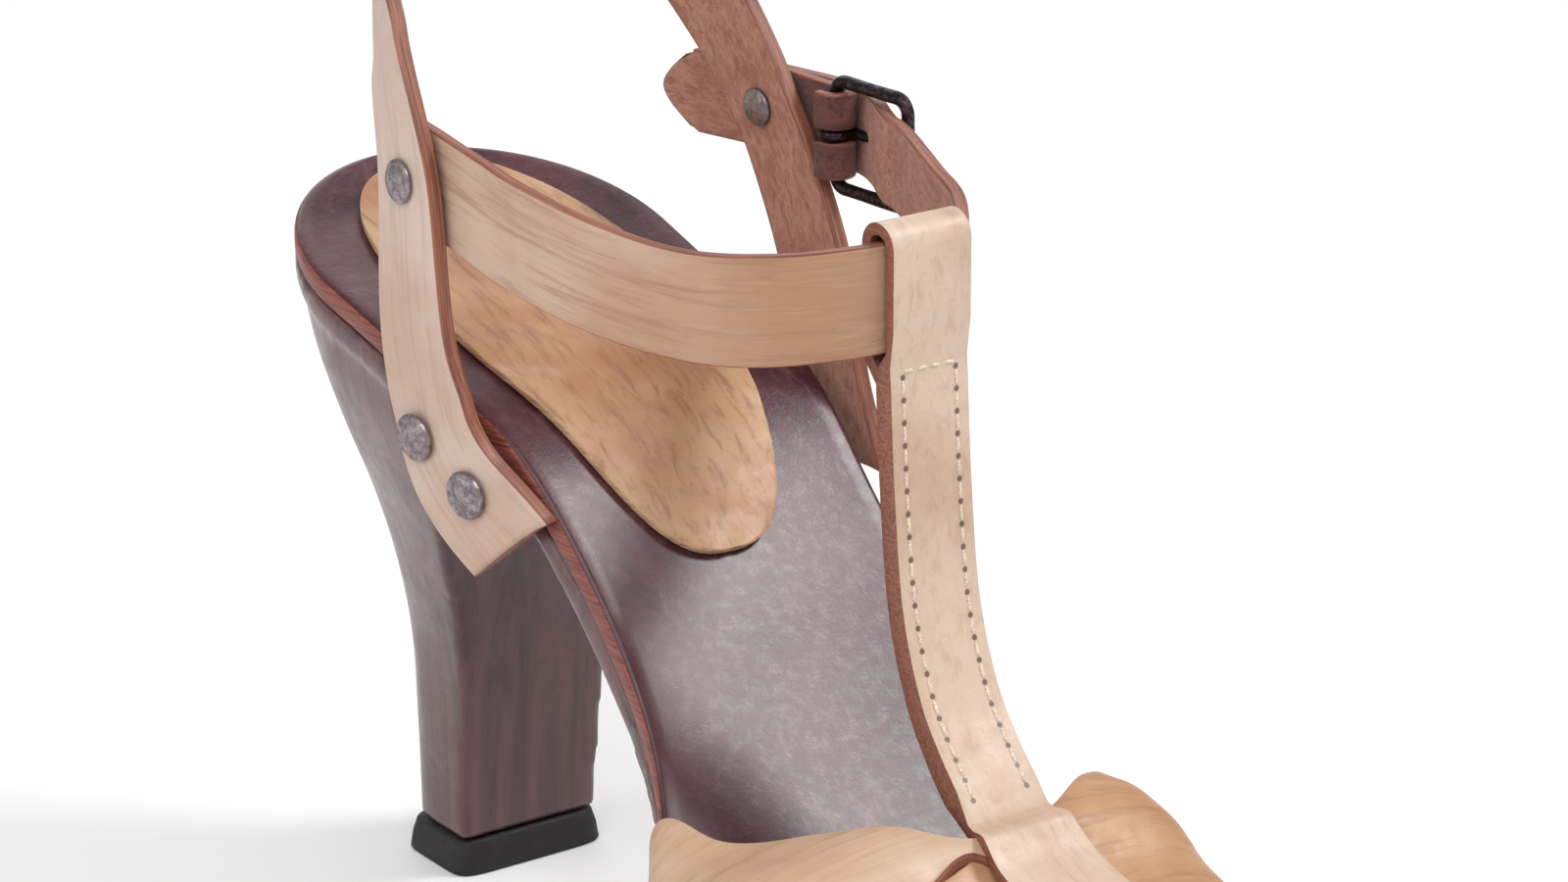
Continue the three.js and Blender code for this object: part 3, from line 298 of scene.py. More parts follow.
def make_object(name, points, faces, slots, lay, materials):
    """Mesh from points in millimetres. "Lay" keeps each point's place on its leather for the shaders."""
    slots = [0] * len(faces) if slots is None else slots
    lay = np.zeros_like(points) if lay is None else lay
    mesh = bpy.data.meshes.new(name)
    mesh.from_pydata((np.asarray(points) * MM).tolist(), [], faces)
    mesh.polygons.foreach_set("material_index", slots)
    mesh.polygons.foreach_set("use_smooth", [True] * len(faces))
    attribute = mesh.attributes.new("lay", "FLOAT_VECTOR", "POINT")
    attribute.data.foreach_set("vector", np.asarray(lay, float).ravel())
    for material in materials:
        mesh.materials.append(material)
    piece = bpy.data.objects.new(name, mesh)
    bpy.context.collection.objects.link(piece)
    cleaner = bmesh.new()
    cleaner.from_mesh(mesh)
    bmesh.ops.remove_doubles(cleaner, verts=cleaner.verts, dist=1e-6)
    bmesh.ops.recalc_face_normals(cleaner, faces=cleaner.faces)
    cleaner.to_mesh(mesh)
    cleaner.free()
    return piece


def bevel(piece, width, segments=3, angle=50):
    modifier = piece.modifiers.new("rounded_edges", "BEVEL")
    modifier.width = width * MM
    modifier.segments = segments
    modifier.limit_method = "ANGLE"
    modifier.angle_limit = math.radians(angle)
    return piece


def apply_modifiers(piece):
    mesh = bpy.data.meshes.new_from_object(piece.evaluated_get(bpy.context.evaluated_depsgraph_get()))
    piece.modifiers.clear()
    piece.data = mesh
    mesh.polygons.foreach_set("use_smooth", [True] * len(mesh.polygons))
    return piece


def grid_faces(rows, columns, start=0):
    """Faces of a grid of points that are numbered from a start"""
    corners = [start + i * columns + j for i in range(rows - 1) for j in range(columns - 1)]
    return [(k, k + columns, k + columns + 1, k + 1) for k in corners]


def slab(top, bottom):
    """Points, faces and face slots of a body between two grids: 0 is the top, 1 the bottom, 2 the edge"""
    rows, columns = top.shape[:2]
    size = rows * columns
    upper = grid_faces(rows, columns)
    number = np.arange(size).reshape(rows, columns)
    rim = [*number[:, 0], *number[-1, 1:], *number[-2::-1, -1], *number[0, -2:0:-1]]
    rim = [int(k) for k in rim]
    edge = [(k, j, size + j, size + k) for k, j in zip(rim, rim[1:] + rim[:1])]
    faces = upper + grid_faces(rows, columns, size) + edge
    slots = [0] * len(upper) + [1] * len(upper) + [2] * len(edge)
    points = np.concatenate([top.reshape(-1, 3), bottom.reshape(-1, 3)])
    return points, faces, slots


def rings_body(rings, caps=True):
    """Points and faces of a body through rings with the same number of points"""
    count = len(rings[0])
    points = np.concatenate(rings)
    faces = []
    for k in range(len(rings) - 1):
        for i in range(count):
            j = (i + 1) % count
            faces.append((k * count + i, k * count + j, (k + 1) * count + j, (k + 1) * count + i))
    if caps:
        faces.append(tuple(range(count))[::-1])
        faces.append(tuple(range((len(rings) - 1) * count, len(rings) * count)))
    return points, faces


def joined(bodies):
    """Points and faces of several bodies as one"""
    points, faces, start = [], [], 0
    for made, made_faces in bodies:
        points.append(made)
        faces += [tuple(start + i for i in face) for face in made_faces]
        start += len(made)
    return np.concatenate(points), faces


def turned_body(profile, segments=48):
    """Body of revolution about +Z from (radius, height) rows that start and end on the axis"""
    angles = 2 * math.pi * np.arange(segments) / segments
    rings = [np.stack([r * np.cos(angles), r * np.sin(angles), np.full(segments, h)], -1)
             for r, h in profile]
    return rings_body(rings, caps=False)


def stand(points, spot, normal):
    """Turns points that stand along +Z to stand at a spot along its normal"""
    turn = np.array(Vector((0, 0, 1)).rotation_difference(Vector(normal)).to_matrix())
    return points @ turn.T + spot


# Shaders

def colour(code):
    """Linear colour of a hexadecimal code"""
    parts = [int(code[i:i + 2], 16) / 255 for i in (1, 3, 5)]
    return tuple(c / 12.92 if c <= 0.04045 else ((c + 0.055) / 1.055) ** 2.4 for c in parts) + (1,)


class Finish:
    """One material's node tree, in short calls"""

    def __init__(self, name, **sockets):
        self.material = bpy.data.materials.new(name)
        self.material.use_nodes = True
        self.tree = self.material.node_tree
        self.shader = next(n for n in self.tree.nodes if n.type == "BSDF_PRINCIPLED")
        for key, value in sockets.items():
            self.shader.inputs[key.replace("_", " ")].default_value = value

    def node(self, kind, *inputs, **settings):
        made = self.tree.nodes.new("ShaderNode" + kind)
        for key, value in settings.items():
            setattr(made, key, value)
        for socket, value in zip(made.inputs, inputs):
            self.put(socket, value)
        return made

    def put(self, socket, value):
        if value is None:
            return
        if isinstance(value, bpy.types.NodeSocket):
            self.tree.links.new(value, socket)
        else:
            socket.default_value = value

    def set(self, name, value):
        self.put(self.shader.inputs[name], value)

    def math(self, operation, *values):
        return self.node("Math", *values, operation=operation).outputs[0]

    def lay(self):
        return self.node("Attribute", attribute_name="lay").outputs["Vector"]

    def space(self):
        """Place on the object in millimetres"""
        place = self.node("TexCoord").outputs["Object"]
        return self.node("VectorMath", place, (1 / MM,) * 3, operation="MULTIPLY").outputs[0]

    def stretch(self, vector, scale, turn=0):
        mapping = self.node("Mapping", vector)
        mapping.inputs["Rotation"].default_value = (0, 0, math.radians(turn))
        mapping.inputs["Scale"].default_value = scale
        return mapping.outputs[0]

    def noise(self, vector, scale, detail=3, rough=0.55, warp=0):
        made = self.node("TexNoise")
        self.put(made.inputs["Vector"], vector)
        for key, value in (("Scale", scale), ("Detail", detail), ("Roughness", rough), ("Distortion", warp)):
            made.inputs[key].default_value = value
        return made.outputs["Fac"]

    def pores(self, vector, scale):
        made = self.node("TexVoronoi", feature="DISTANCE_TO_EDGE")
        self.put(made.inputs["Vector"], vector)
        made.inputs["Scale"].default_value = scale
        return made.outputs["Distance"]

    def span(self, value, low, high, to_low=0, to_high=1):
        made = self.node("MapRange", value, low, high, to_low, to_high)
        made.interpolation_type = "SMOOTHSTEP"
        return made.outputs[0]

    def mix(self, share, first, second):
        made = self.node("Mix", data_type="RGBA")
        self.put(made.inputs[0], share)
        self.put(made.inputs[6], first)
        self.put(made.inputs[7], second)
        return made.outputs[2]

    def bump(self, height, strength, distance, below=None):
        made = self.node("Bump")
        made.inputs["Strength"].default_value = strength
        made.inputs["Distance"].default_value = distance * MM
        self.put(made.inputs["Height"], height)
        self.put(made.inputs["Normal"], below)
        return made.outputs["Normal"]


def tan_leather(name, pale, warm, dark, streaks=0.5, turn=20, rows=None, tanned=None):
    """Natural vegetable-tanned grain: pale to warm tan with faint slanting fibre streaks and fine pores.
    "Rows" gives pinholes of a seam: offsets across, pitch, first and last place along.
    "Tanned" gives a browner stretch: from, fullest and end along, and its colour."""
    f = Finish(name, Roughness=0.5, Coat_Weight=0.12, Coat_Roughness=0.4)
    lay = f.lay()
    cloud = f.noise(f.space(), 0.035, 3, 0.5)
    tint = f.mix(f.span(cloud, 0.36, 0.64), colour(pale), colour(warm))
    if tanned:
        run = f.node("SeparateXYZ", lay).outputs[0]
        rise = f.span(run, tanned[0], tanned[1])
        fall = f.span(run, tanned[1], tanned[2], 1, 0)
        tint = f.mix(f.math("MULTIPLY", f.math("MULTIPLY", rise, fall), 0.8), tint, colour(tanned[3]))
    fibre = f.noise(f.stretch(lay, (0.05, 0.55, 0.3), turn), 1, 5, 0.62, 0.6)
    tint = f.mix(f.math("MULTIPLY", f.span(fibre, 0.46, 0.72), streaks), tint, colour(dark))
    light = f.noise(f.stretch(lay, (0.09, 1.1, 0.5), turn), 1, 3, 0.6)
    tint = f.mix(f.math("MULTIPLY", f.span(light, 0.52, 0.75), 0.35), tint, colour(pale))
    speck = f.noise(f.space(), 1.5, 2, 0.6)
    tint = f.mix(f.span(speck, 0.60, 0.78, 0, 0.28), tint, colour(dark))
    pores = f.span(f.pores(f.space(), 1.6), 0.0, 0.16)
    relief = f.bump(pores, 0.10, 0.10)
    relief = f.bump(f.noise(f.space(), 0.9, 5, 0.62), 0.22, 0.25, relief)
    relief = f.bump(fibre, 0.25, 0.22, relief)
    if rows:
        hole = pinholes(f, lay, rows)
        tint = f.mix(f.math("MULTIPLY", hole, 0.86), tint, colour("#4a3028"))
        relief = f.bump(hole, -1, 0.5, relief)
    f.set("Base Color", tint)
    f.set("Roughness", f.span(f.noise(f.space(), 0.25, 4), 0.3, 0.7, 0.42, 0.6))
    f.set("Normal", relief)
    return f.material


def pinholes(f, lay, rows):
    """1 in the round pinholes of a seam's rows, 0 elsewhere"""
    parts = f.node("SeparateXYZ", lay)
    run, side = parts.outputs[0], parts.outputs[1]
    beat = f.math("PINGPONG", f.math("SUBTRACT", run, rows["first"]), rows["pitch"] / 2)
    nearest = f.math("SUBTRACT", f.math("ABSOLUTE", side), rows["offset"])
    gap = f.math("SQRT", f.math("ADD", f.math("MULTIPLY", beat, beat), f.math("MULTIPLY", nearest, nearest)))
    dots = f.span(gap, 0.34, 0.62, 1, 0)
    begun = f.math("GREATER_THAN", run, rows["first"] - 1)
    inside = f.math("MULTIPLY", begun, f.math("LESS_THAN", run, rows["last"]))
    return f.math("MULTIPLY", dots, inside)


def flesh_leather(name, light, dark):
    """Rough inner side of the leather, reddish and fibrous"""
    f = Finish(name, Roughness=0.85, Sheen_Weight=0.12, Sheen_Roughness=0.6)
    fibre = f.noise(f.stretch(f.lay(), (0.35, 0.7, 0.5), 30), 1, 5, 0.7, 1.2)
    patch = f.noise(f.space(), 0.12, 3)
    tint = f.mix(f.span(fibre, 0.35, 0.7), colour(light), colour(dark))
    tint = f.mix(f.span(patch, 0.45, 0.75, 0, 0.5), tint, colour(dark))
    f.set("Base Color", tint)
    f.set("Normal", f.bump(fibre, 0.5, 0.4, f.bump(f.noise(f.space(), 3, 4, 0.7), 0.4, 0.2)))
    return f.material


def cut_edge(name, light, dark):
    """Stained and rubbed cut edge, lined along its length"""
    f = Finish(name, Roughness=0.5, Coat_Weight=0.1, Coat_Roughness=0.4)
    line = f.noise(f.stretch(f.lay(), (0.07, 0.3, 2.6)), 1, 4, 0.6, 0.4)
    rub = f.noise(f.space(), 0.5, 3)
    tint = f.mix(f.span(line, 0.35, 0.65), colour(dark), colour(light))
    tint = f.mix(f.span(rub, 0.55, 0.8, 0, 0.45), tint, colour(light))
    f.set("Base Color", tint)
    f.set("Normal", f.bump(line, 0.4, 0.25, f.bump(rub, 0.3, 0.15)))
    return f.material


def footbed_leather():
    """Dark waxed leather in purple-brown, paler in streaky patches, with painted shade darkening it along
    its inner side
    """
    f = Finish("footbed_grain", Coat_Weight=0.3, Coat_Roughness=0.24, Specular_IOR_Level=0.25)
    where = f.space()
    cloud = f.noise(where, 0.06, 4, 0.6, 0.5)
    mottle = f.noise(where, 0.45, 4, 0.62)
    # Streaky pattern for paler patches and a faint relief
    pale_streaks = f.noise(f.stretch(where, (1, 0.6, 0.6)), 0.16, 5, 0.6, 1.5)
    tint = f.mix(f.span(cloud, 0.35, 0.65), colour("#3a1820"), colour("#502a32"))
    tint = f.mix(f.span(mottle, 0.48, 0.72, 0, 0.4), tint, colour("#6b4448"))
    tint = f.mix(f.span(pale_streaks, 0.56, 0.70, 0, 0.28), tint, colour("#7d5658"))
    # Painted shade: the inner side darkens towards deep purple-brown, fully from 34 mm inside the middle and
    # fading out by 12 mm, standing in for the shade on the hollow seat's slope
    inner = f.span(f.node("SeparateXYZ", where).outputs[0], -34, -12, 0.75, 0)
    tint = f.mix(inner, tint, colour("#43181f"))
    mark = f.noise(where, 0.75, 2, 0.5, 2)
    tint = f.mix(f.span(mark, 0.68, 0.74, 0, 0.6), tint, colour("#3a1a20"))
    f.set("Base Color", tint)
    f.set("Roughness", f.span(mottle, 0.3, 0.7, 0.34, 0.5))
    relief = f.bump(f.span(f.pores(where, 1.1), 0, 0.2), 0.12, 0.12)
    relief = f.bump(f.noise(where, 0.3, 5, 0.6), 0.3, 0.5, relief)
    f.set("Normal", f.bump(pale_streaks, 0.2, 0.5, relief))
    return f.material


def stained_wood():
    """Dark reddish wood under a satin varnish, its grain upright, with pale grey-lilac patches of painted
    sheen
    """
    f = Finish("stained_wood", Coat_Weight=0.45, Coat_Roughness=0.22)
    where = f.space()
    upright = f.noise(f.stretch(where, (0.9, 0.9, 0.035)), 1, 5, 0.6, 0.5)
    broad = f.noise(f.stretch(where, (0.22, 0.22, 0.012)), 1, 3, 0.5, 0.8)
    tint = f.mix(f.span(broad, 0.35, 0.65), colour("#46282b"), colour("#5f3a3c"))
    tint = f.mix(f.span(upright, 0.5, 0.75, 0, 0.5), tint, colour("#341c1f"))
    # Painted sheen: pale grey-lilac patches stand in for the varnish's reflection of the lights; the same
    # patches also vary the roughness
    painted_sheen_patches = f.noise(where, 0.11, 6, 0.7, 1)
    tint = f.mix(f.span(painted_sheen_patches, 0.6, 0.8, 0, 0.35), tint, colour("#75585a"))
    f.set("Base Color", tint)
    f.set("Roughness", f.span(painted_sheen_patches, 0.3, 0.7, 0.32, 0.5))
    f.set("Normal", f.bump(upright, 0.16, 0.2, f.bump(broad, 0.15, 0.6)))
    return f.material


def rubber(name, ribs=0):
    """Near-black rubber, dusty in patches; the tread has fine ribs across"""
    f = Finish(name, Specular_IOR_Level=0.4)
    where = f.space()
    dust = f.noise(where, 0.4, 5, 0.65)
    f.set("Base Color", f.mix(f.span(dust, 0.45, 0.75, 0, 0.5), colour("#1d1a1c"), colour("#3b3537")))
    f.set("Roughness", f.span(dust, 0.3, 0.7, 0.5, 0.75))
    relief = f.bump(f.noise(where, 2.5, 4, 0.6), 0.35, 0.15)
    if ribs:
        wave = f.node("TexWave", wave_type="BANDS", bands_direction="Y")
        f.put(wave.inputs["Vector"], where)
        wave.inputs["Scale"].default_value = ribs
        relief = f.bump(wave.outputs["Fac"], 0.6, 0.5, relief)
    f.set("Normal", relief)
    return f.material


def old_metal(name, base, worn, dirt):
    """Cast metal, worn in patches and dark with patina in others"""
    f = Finish(name, Metallic=1)
    where = f.space()
    patina = f.noise(where, 0.9, 5, 0.65, 0.6)
    tint = f.mix(f.span(patina, 0.35, 0.6), colour(worn), colour(base))
    tint = f.mix(f.span(patina, 0.56, 0.72, 0, 0.4), tint, colour(dirt))
    f.set("Base Color", tint)
    f.set("Roughness", f.span(patina, 0.3, 0.7, 0.3, 0.6))
    f.set("Normal", f.bump(f.noise(where, 2.2, 4, 0.6), 0.4, 0.12))
    return f.material


def thread_finish():
    f = Finish("stitch_thread", Roughness=0.7, Sheen_Weight=0.2)
    twist = f.noise(f.space(), 3.5, 3)
    f.set("Base Color", f.mix(f.span(twist, 0.35, 0.65), colour("#e2d4bf"), colour("#b99f84")))
    f.set("Normal", f.bump(twist, 0.5, 0.1))
    return f.material


FLESH = flesh_leather("strap_flesh", "#b3806a", "#8a5644")
BUCKLE_FLESH = flesh_leather("buckle_strap_flesh", "#6e3f38", "#43211f")
# Painted shade: a darker copy of the strap flesh for the inside of the T-strap's loop, where the band runs
# through
LOOP_FLESH_PAINTED_SHADE = flesh_leather("loop_flesh_painted_shade", "#8a5545", "#5e3028")
EDGE = cut_edge("strap_edge", "#945c46", "#68392d")
# Painted highlight: the heel pad's cut edge gets pale cream colours, a lit line along its turned-up rim
PAD_EDGE_PAINTED_HIGHLIGHT = cut_edge("pad_edge_painted_highlight", "#d9bd98", "#b98d68")
RISER = (tan_leather("riser_grain", "#c3ada0", "#b89a86", "#9c7a68", 0.40, 4), FLESH, EDGE)
BAND_SET = (tan_leather("band_grain", "#bba08c", "#ae8970", "#8a614a", 0.6, 24,
                        tanned=(40, 84, 100, "#a0734f")), FLESH, EDGE)
TOE_SET = (tan_leather("toe_band_grain", "#b98f6a", "#a67850", "#865a3a", 0.60, -18), FLESH, EDGE)
WING_SET = (tan_leather("wing_grain", "#c0a48c", "#b08f72", "#927057", 0.50, 14), FLESH, EDGE)
PAD_SET = (tan_leather("pad_grain", "#ba9470", "#a87550", "#835136", 0.65, 32), FLESH, PAD_EDGE_PAINTED_HIGHLIGHT)
STITCH_ROWS = {"first": 30, "last": 99, "pitch": 3.5, "offset": 5.0}
T_GRAIN = tan_leather("t_strap_grain", "#c6af9c", "#b89b84", "#9a7b66", 0.35, 6, STITCH_ROWS)
T_SET = (T_GRAIN, LOOP_FLESH_PAINTED_SHADE, EDGE)
FOOTBED_SET = (footbed_leather(), cut_edge("footbed_edge", "#8f4a3a", "#5f2c28"))
WOOD = stained_wood()
RUBBER = rubber("tip_rubber")
TREAD = rubber("tread_rubber", ribs=0.12)
DARK_METAL = old_metal("buckle_metal", "#2c2428", "#54484a", "#151013")
PEWTER = old_metal("rivet_metal", "#7d7276", "#9f9496", "#4a3c38")
THREAD = thread_finish()


# Sole

def sole_layer(stations, depth, inset, columns, hollow):
    """Grid of the sole at a depth, its outline moved in by an inset"""
    moved, _ = sole_profile(stations, depth)
    share = stations / LENGTH
    keep = np.maximum(ease(0.85, 0.95, share), 1 - ease(0, 0.1, share))
    level = lerp(moved, stations, keep)
    left = np.stack([across(level, -1), moved], -1)
    right = np.stack([across(level, 1), moved], -1)
    ring = np.concatenate([left, right[::-1]])
    tangent = np.roll(ring, -1, 0) - np.roll(ring, 1, 0)
    out = np.stack([-tangent[:, 1], tangent[:, 0]], -1)
    out /= np.maximum(np.linalg.norm(out, axis=1), 1e-9)[:, None]
    shift = -inset * out
    ring = ring + shift
    count = len(stations)
    left, right = ring[:count], ring[count:][::-1]
    moves = shift[:count, 1], shift[count:, 1][::-1]
    grid = np.empty((count, len(columns), 3))
    for j, v in enumerate(columns):
        s = (v + 1) / 2
        station = np.clip(stations + lerp(moves[0], moves[1], s), 0, LENGTH)
        _, z = sole_profile(station, depth)
        point = lerp(left, right, s)
        dip = cup(station, v) if hollow else 0
        grid[:, j] = place(point[:, 0], point[:, 1], z - dip)
    return grid


def stacked(layers, slots_by_layer):
    """Closed body from the first and last layer's grids and every layer's outline"""
    rows, columns = layers[0].shape[:2]
    rim = [(i, 0) for i in range(rows)] + [(i, columns - 1) for i in range(rows - 1, -1, -1)]
    outer = [i * columns + j for i, j in rim]
    points = [layers[0].reshape(-1, 3)]
    faces = grid_faces(rows, columns)
    slots = [slots_by_layer[0]] * len(faces)
    above, start = outer, rows * columns
    for layer, slot in zip(layers[1:], slots_by_layer[1:]):
        final = layer is layers[-1]
        points.append(layer.reshape(-1, 3) if final else np.array([layer[i, j] for i, j in rim]))
        here = [start + k for k in (outer if final else range(len(rim)))]
        faces += [(above[k], above[k - 1], here[k - 1], here[k]) for k in range(len(rim))]
        slots += [slot] * len(rim)
        above, start = here, start + (0 if final else len(rim))
    bottom = grid_faces(rows, columns, start)
    faces += bottom
    slots += [slots_by_layer[-1]] * len(bottom)
    return np.concatenate(points), faces, slots


def make_footbed():
    stations = sole_stations(90, 26)
    columns = np.linspace(-1, 1, 25)
    radius = 1.3
    turns = np.radians([0, 22, 45, 68, 90])
    layers = [(radius * (1 - math.sin(a)), radius * (1 - math.cos(a))) for a in turns]
    layers += [(0, FOOTBED_THICKNESS - 0.5), (0.15, FOOTBED_THICKNESS - 0.12), (0.5, FOOTBED_THICKNESS)]
    grids = [sole_layer(stations, depth, inset, columns, True) for inset, depth in layers]
    points, faces, slots = stacked(grids, [0, 0, 0, 1, 1, 1, 1, 1])
    lay = np.stack([points[:, 1], points[:, 0], points[:, 2]], -1)
    piece = make_object("footbed_leather", points, faces, slots, lay, FOOTBED_SET)
    return link(piece, ["footbed"])


WOOD_TOP = FOOTBED_THICKNESS + GAP
WOOD_BOTTOM = WOOD_TOP + SHANK_THICKNESS
foot_share = through(UNDERSIDE["along"], UNDERSIDE["foot"])
foot_rise = through(UNDERSIDE["along"], UNDERSIDE["rise"])


def board_grids():
    stations = np.clip(sole_stations(90, 22), 0.25, LENGTH - 0.25)
    columns = np.linspace(-1, 1, 13)
    share = stations / LENGTH
    keep = np.maximum(ease(0.85, 0.95, share), 1 - ease(0, 0.1, share))
    top_along, top_z = sole_profile(stations, WOOD_TOP)
    shank_along, shank_z = sole_profile(stations, WOOD_BOTTOM)
    blend = ease(0.56, 0.60, share)
    low_along = lerp(shank_along, LENGTH * foot_share(share), blend)
    low_z = lerp(shank_z, TREAD_THICKNESS + GAP + FOREFOOT_HEIGHT * foot_rise(share), blend)
    top = np.stack([place(across(lerp(top_along, stations, keep), v), top_along, top_z - cup(stations, v))
                    for v in columns], 1)
    low = np.stack([place(across(lerp(low_along, stations, keep), v), low_along, low_z)
                    for v in columns], 1)
    return top, low


heel_side = through(HEEL["rise"], HEEL["side"])
heel_back = through(HEEL["rise"], HEEL["back"])
heel_breast = through(HEEL["rise"], HEEL["breast"])
HEEL_CORNER = 7
HEEL_ROOT = 0.75


def heel_ring(rise, count):
    """Ring of the heel block from the inner breast corner round the back"""
    angle = math.pi * np.arange(count + 1) / count
    sign = np.where(np.cos(angle) < 0, 1, -1)
    c = abs(np.cos(angle)) ** (2 / HEEL_CORNER)
    s = np.sin(angle).clip(0) ** (2 / HEEL_CORNER)
    inset = 0.6
    tip_x = sign * c * (TIP_WIDTH / 2 - TIP_FLARE)
    tip_along = TIP_ALONG + TIP_DEPTH / 2 - TIP_FLARE - s * (TIP_DEPTH - 2 * TIP_FLARE)
    seat_along = BREAST_ALONG * (1 - np.sin(angle).clip(0) ** 0.9) + inset
    inner, outer = footprint(seat_along)
    seat_x = np.where(sign < 0, inset - inner, outer - inset)
    seat_x[count // 2] = 0
    front = 1 - np.sin(angle)
    share = heel_back(rise) * (1 - front) + heel_breast(rise) * front
    _, root = sole_profile(seat_along, WOOD_TOP + SHANK_THICKNESS * HEEL_ROOT)
    return place(lerp(tip_x, seat_x, heel_side(rise)), lerp(tip_along, seat_along, share),
                 lerp(TIP_HEIGHT + GAP, root, rise))


def make_wooden_sole():
    """Board and heel block, carved from one piece: joined, remeshed fine and eased where they meet"""
    top, low = board_grids()
    heel = rings_body([heel_ring(k / 40, 64) for k in range(41)])
    points, faces = joined([slab(top, low)[:2], heel])
    piece = make_object("carved_wooden_sole", points, faces, None, None, [WOOD])
    remesh = piece.modifiers.new("one_body", "REMESH")
    remesh.mode = "VOXEL"
    remesh.voxel_size = 1.0 * MM
    eased = piece.modifiers.new("eased", "SMOOTH")
    eased.factor = 0.5
    eased.iterations = 5
    return link(apply_modifiers(piece), ["wooden_sole"])


def make_heel_tip():
    angles = 2 * math.pi * np.arange(96) / 96
    power = lambda t: np.sign(t) * abs(t) ** (2 / HEEL_CORNER)
    neck = TIP_FLARE * 1.6
    rows = [(0, 0.9), (0.12, 0.35), (0.5, 0), (TIP_HEIGHT * 0.55, TIP_FLARE * 0.6),
            (TIP_HEIGHT - 0.4, neck), (TIP_HEIGHT, neck + 0.5)]
    rings = [place(power(np.cos(angles)) * (TIP_WIDTH - cut) / 2,
                   TIP_ALONG - power(np.sin(angles)) * (TIP_DEPTH - cut) / 2, z) for z, cut in rows]
    points, faces = rings_body(rings)
    piece = make_object("rubber_heel_tip", points, faces, None, None, [RUBBER])
    return link(piece, ["heel_tip"])


def make_tread():
    start = UNDERSIDE["foot"][4] * LENGTH + 1
    rise = through(UNDERSIDE["foot"], UNDERSIDE["rise"])
    turn = np.linspace(math.pi / 2, 0, 25)
    end = LENGTH * 0.986
    lines = np.concatenate([np.linspace(start, end - 40, 20)[:-1], end - 40 * (1 - np.sin(turn[::-1]))])
    sheet = lambda lift: np.stack([place(across(lines + 0.002 * LENGTH, v, TREAD_INSET), lines,
                                         FOREFOOT_HEIGHT * rise(lines / LENGTH) + lift)
                                   for v in np.linspace(-1, 1, 15)], 1)
    points, faces, slots = slab(sheet(TREAD_THICKNESS), sheet(0))
    piece = make_object("forefoot_rubber_tread", points, faces, [0] * len(faces), points, [TREAD])
    return link(bevel(piece, 0.45, 2), ["forefoot_tread"])


def make_heel_pad():
    s = (1 - np.cos(np.linspace(0, math.pi, 90))) / 2
    along = PAD_BACK + s * PAD_LENGTH
    egg = np.sqrt(np.maximum(1 - (2 * s - 1) ** 2, 0.0004)) ** 0.72
    half = PAD_WIDTH / 2 * egg * (1.04 - 0.16 * s)
    inner, outer = footprint(along)
    columns = np.concatenate([[-1, -0.96], np.linspace(-0.88, 0.88, 23), [0.96, 1]])

    def sheet(lift, skive):
        rows = []
        for v in columns:
            x = PAD_SWING + v * half
            moved, z = sole_profile(along, -lift)
            edge = skive * ease(0.9, 1, abs(v))
            crease = sum(0.35 * np.exp(-((along - at - 0.35 * v * half) / 2.2) ** 2) for at in (71, 78, 58))
            dip = cup(along, (2 * x - outer + inner) / (inner + outer))
            rows.append(place(x, moved, z - dip - edge - (crease if lift > GAP else 0)))
        return np.stack(rows, 1)
    top, low = sheet(GAP + PAD_THICKNESS, 0.25), sheet(GAP, 0)
    points, faces, slots = slab(top, low)
    lay = np.stack([points[:, 1], points[:, 0], points[:, 2]], -1)
    piece = make_object("heel_pad_leather", points, faces, slots, lay, PAD_SET)
    return link(bevel(piece, 0.4, 2, 60), ["heel_pad"])


# Straps

def strap_frame(rows):
    curve = centripetal([row[0] for row in rows])
    count = len(rows) - 1

    def at(t):
        i = min(int(t * count), count - 1)
        s = t * count - i
        tangent = unit(curve(min(t + 1e-4, 1)) - curve(max(t - 1e-4, 0)))
        face = lerp(rows[i][1], rows[i + 1][1], s)
        face = unit(face - tangent * face.dot(tangent))
        return curve(t), face, np.cross(tangent, face), lerp(rows[i][2], rows[i + 1][2], s)
    return at


def strap_section(thickness, columns, radius=0.5):
    """Closed section: (share across, inset, lift, slot of the face that follows)"""
    half = thickness / 2
    flat = np.linspace(-1, 1, columns)
    turns = np.radians([90, 60, 30, 0])
    down = [(radius * (1 - math.cos(a)), half - radius + radius * math.sin(a)) for a in turns]
    section = [(v, radius, half, 0) for v in flat[:-1]]
    section += [(1, inset, lift, slot) for (inset, lift), slot in zip(down, (0, 2, 2, 2))]
    section += [(1, inset, -lift, 2) for inset, lift in down[::-1][:-1]]
    section += [(v, radius, -half, 1) for v in flat[::-1][:-1]]
    section += [(-1, inset, -lift, 2) for inset, lift in down]
    section += [(-1, inset, lift, slot) for (inset, lift), slot in zip(down[::-1][:-1], (2, 2, 0))]
    return section


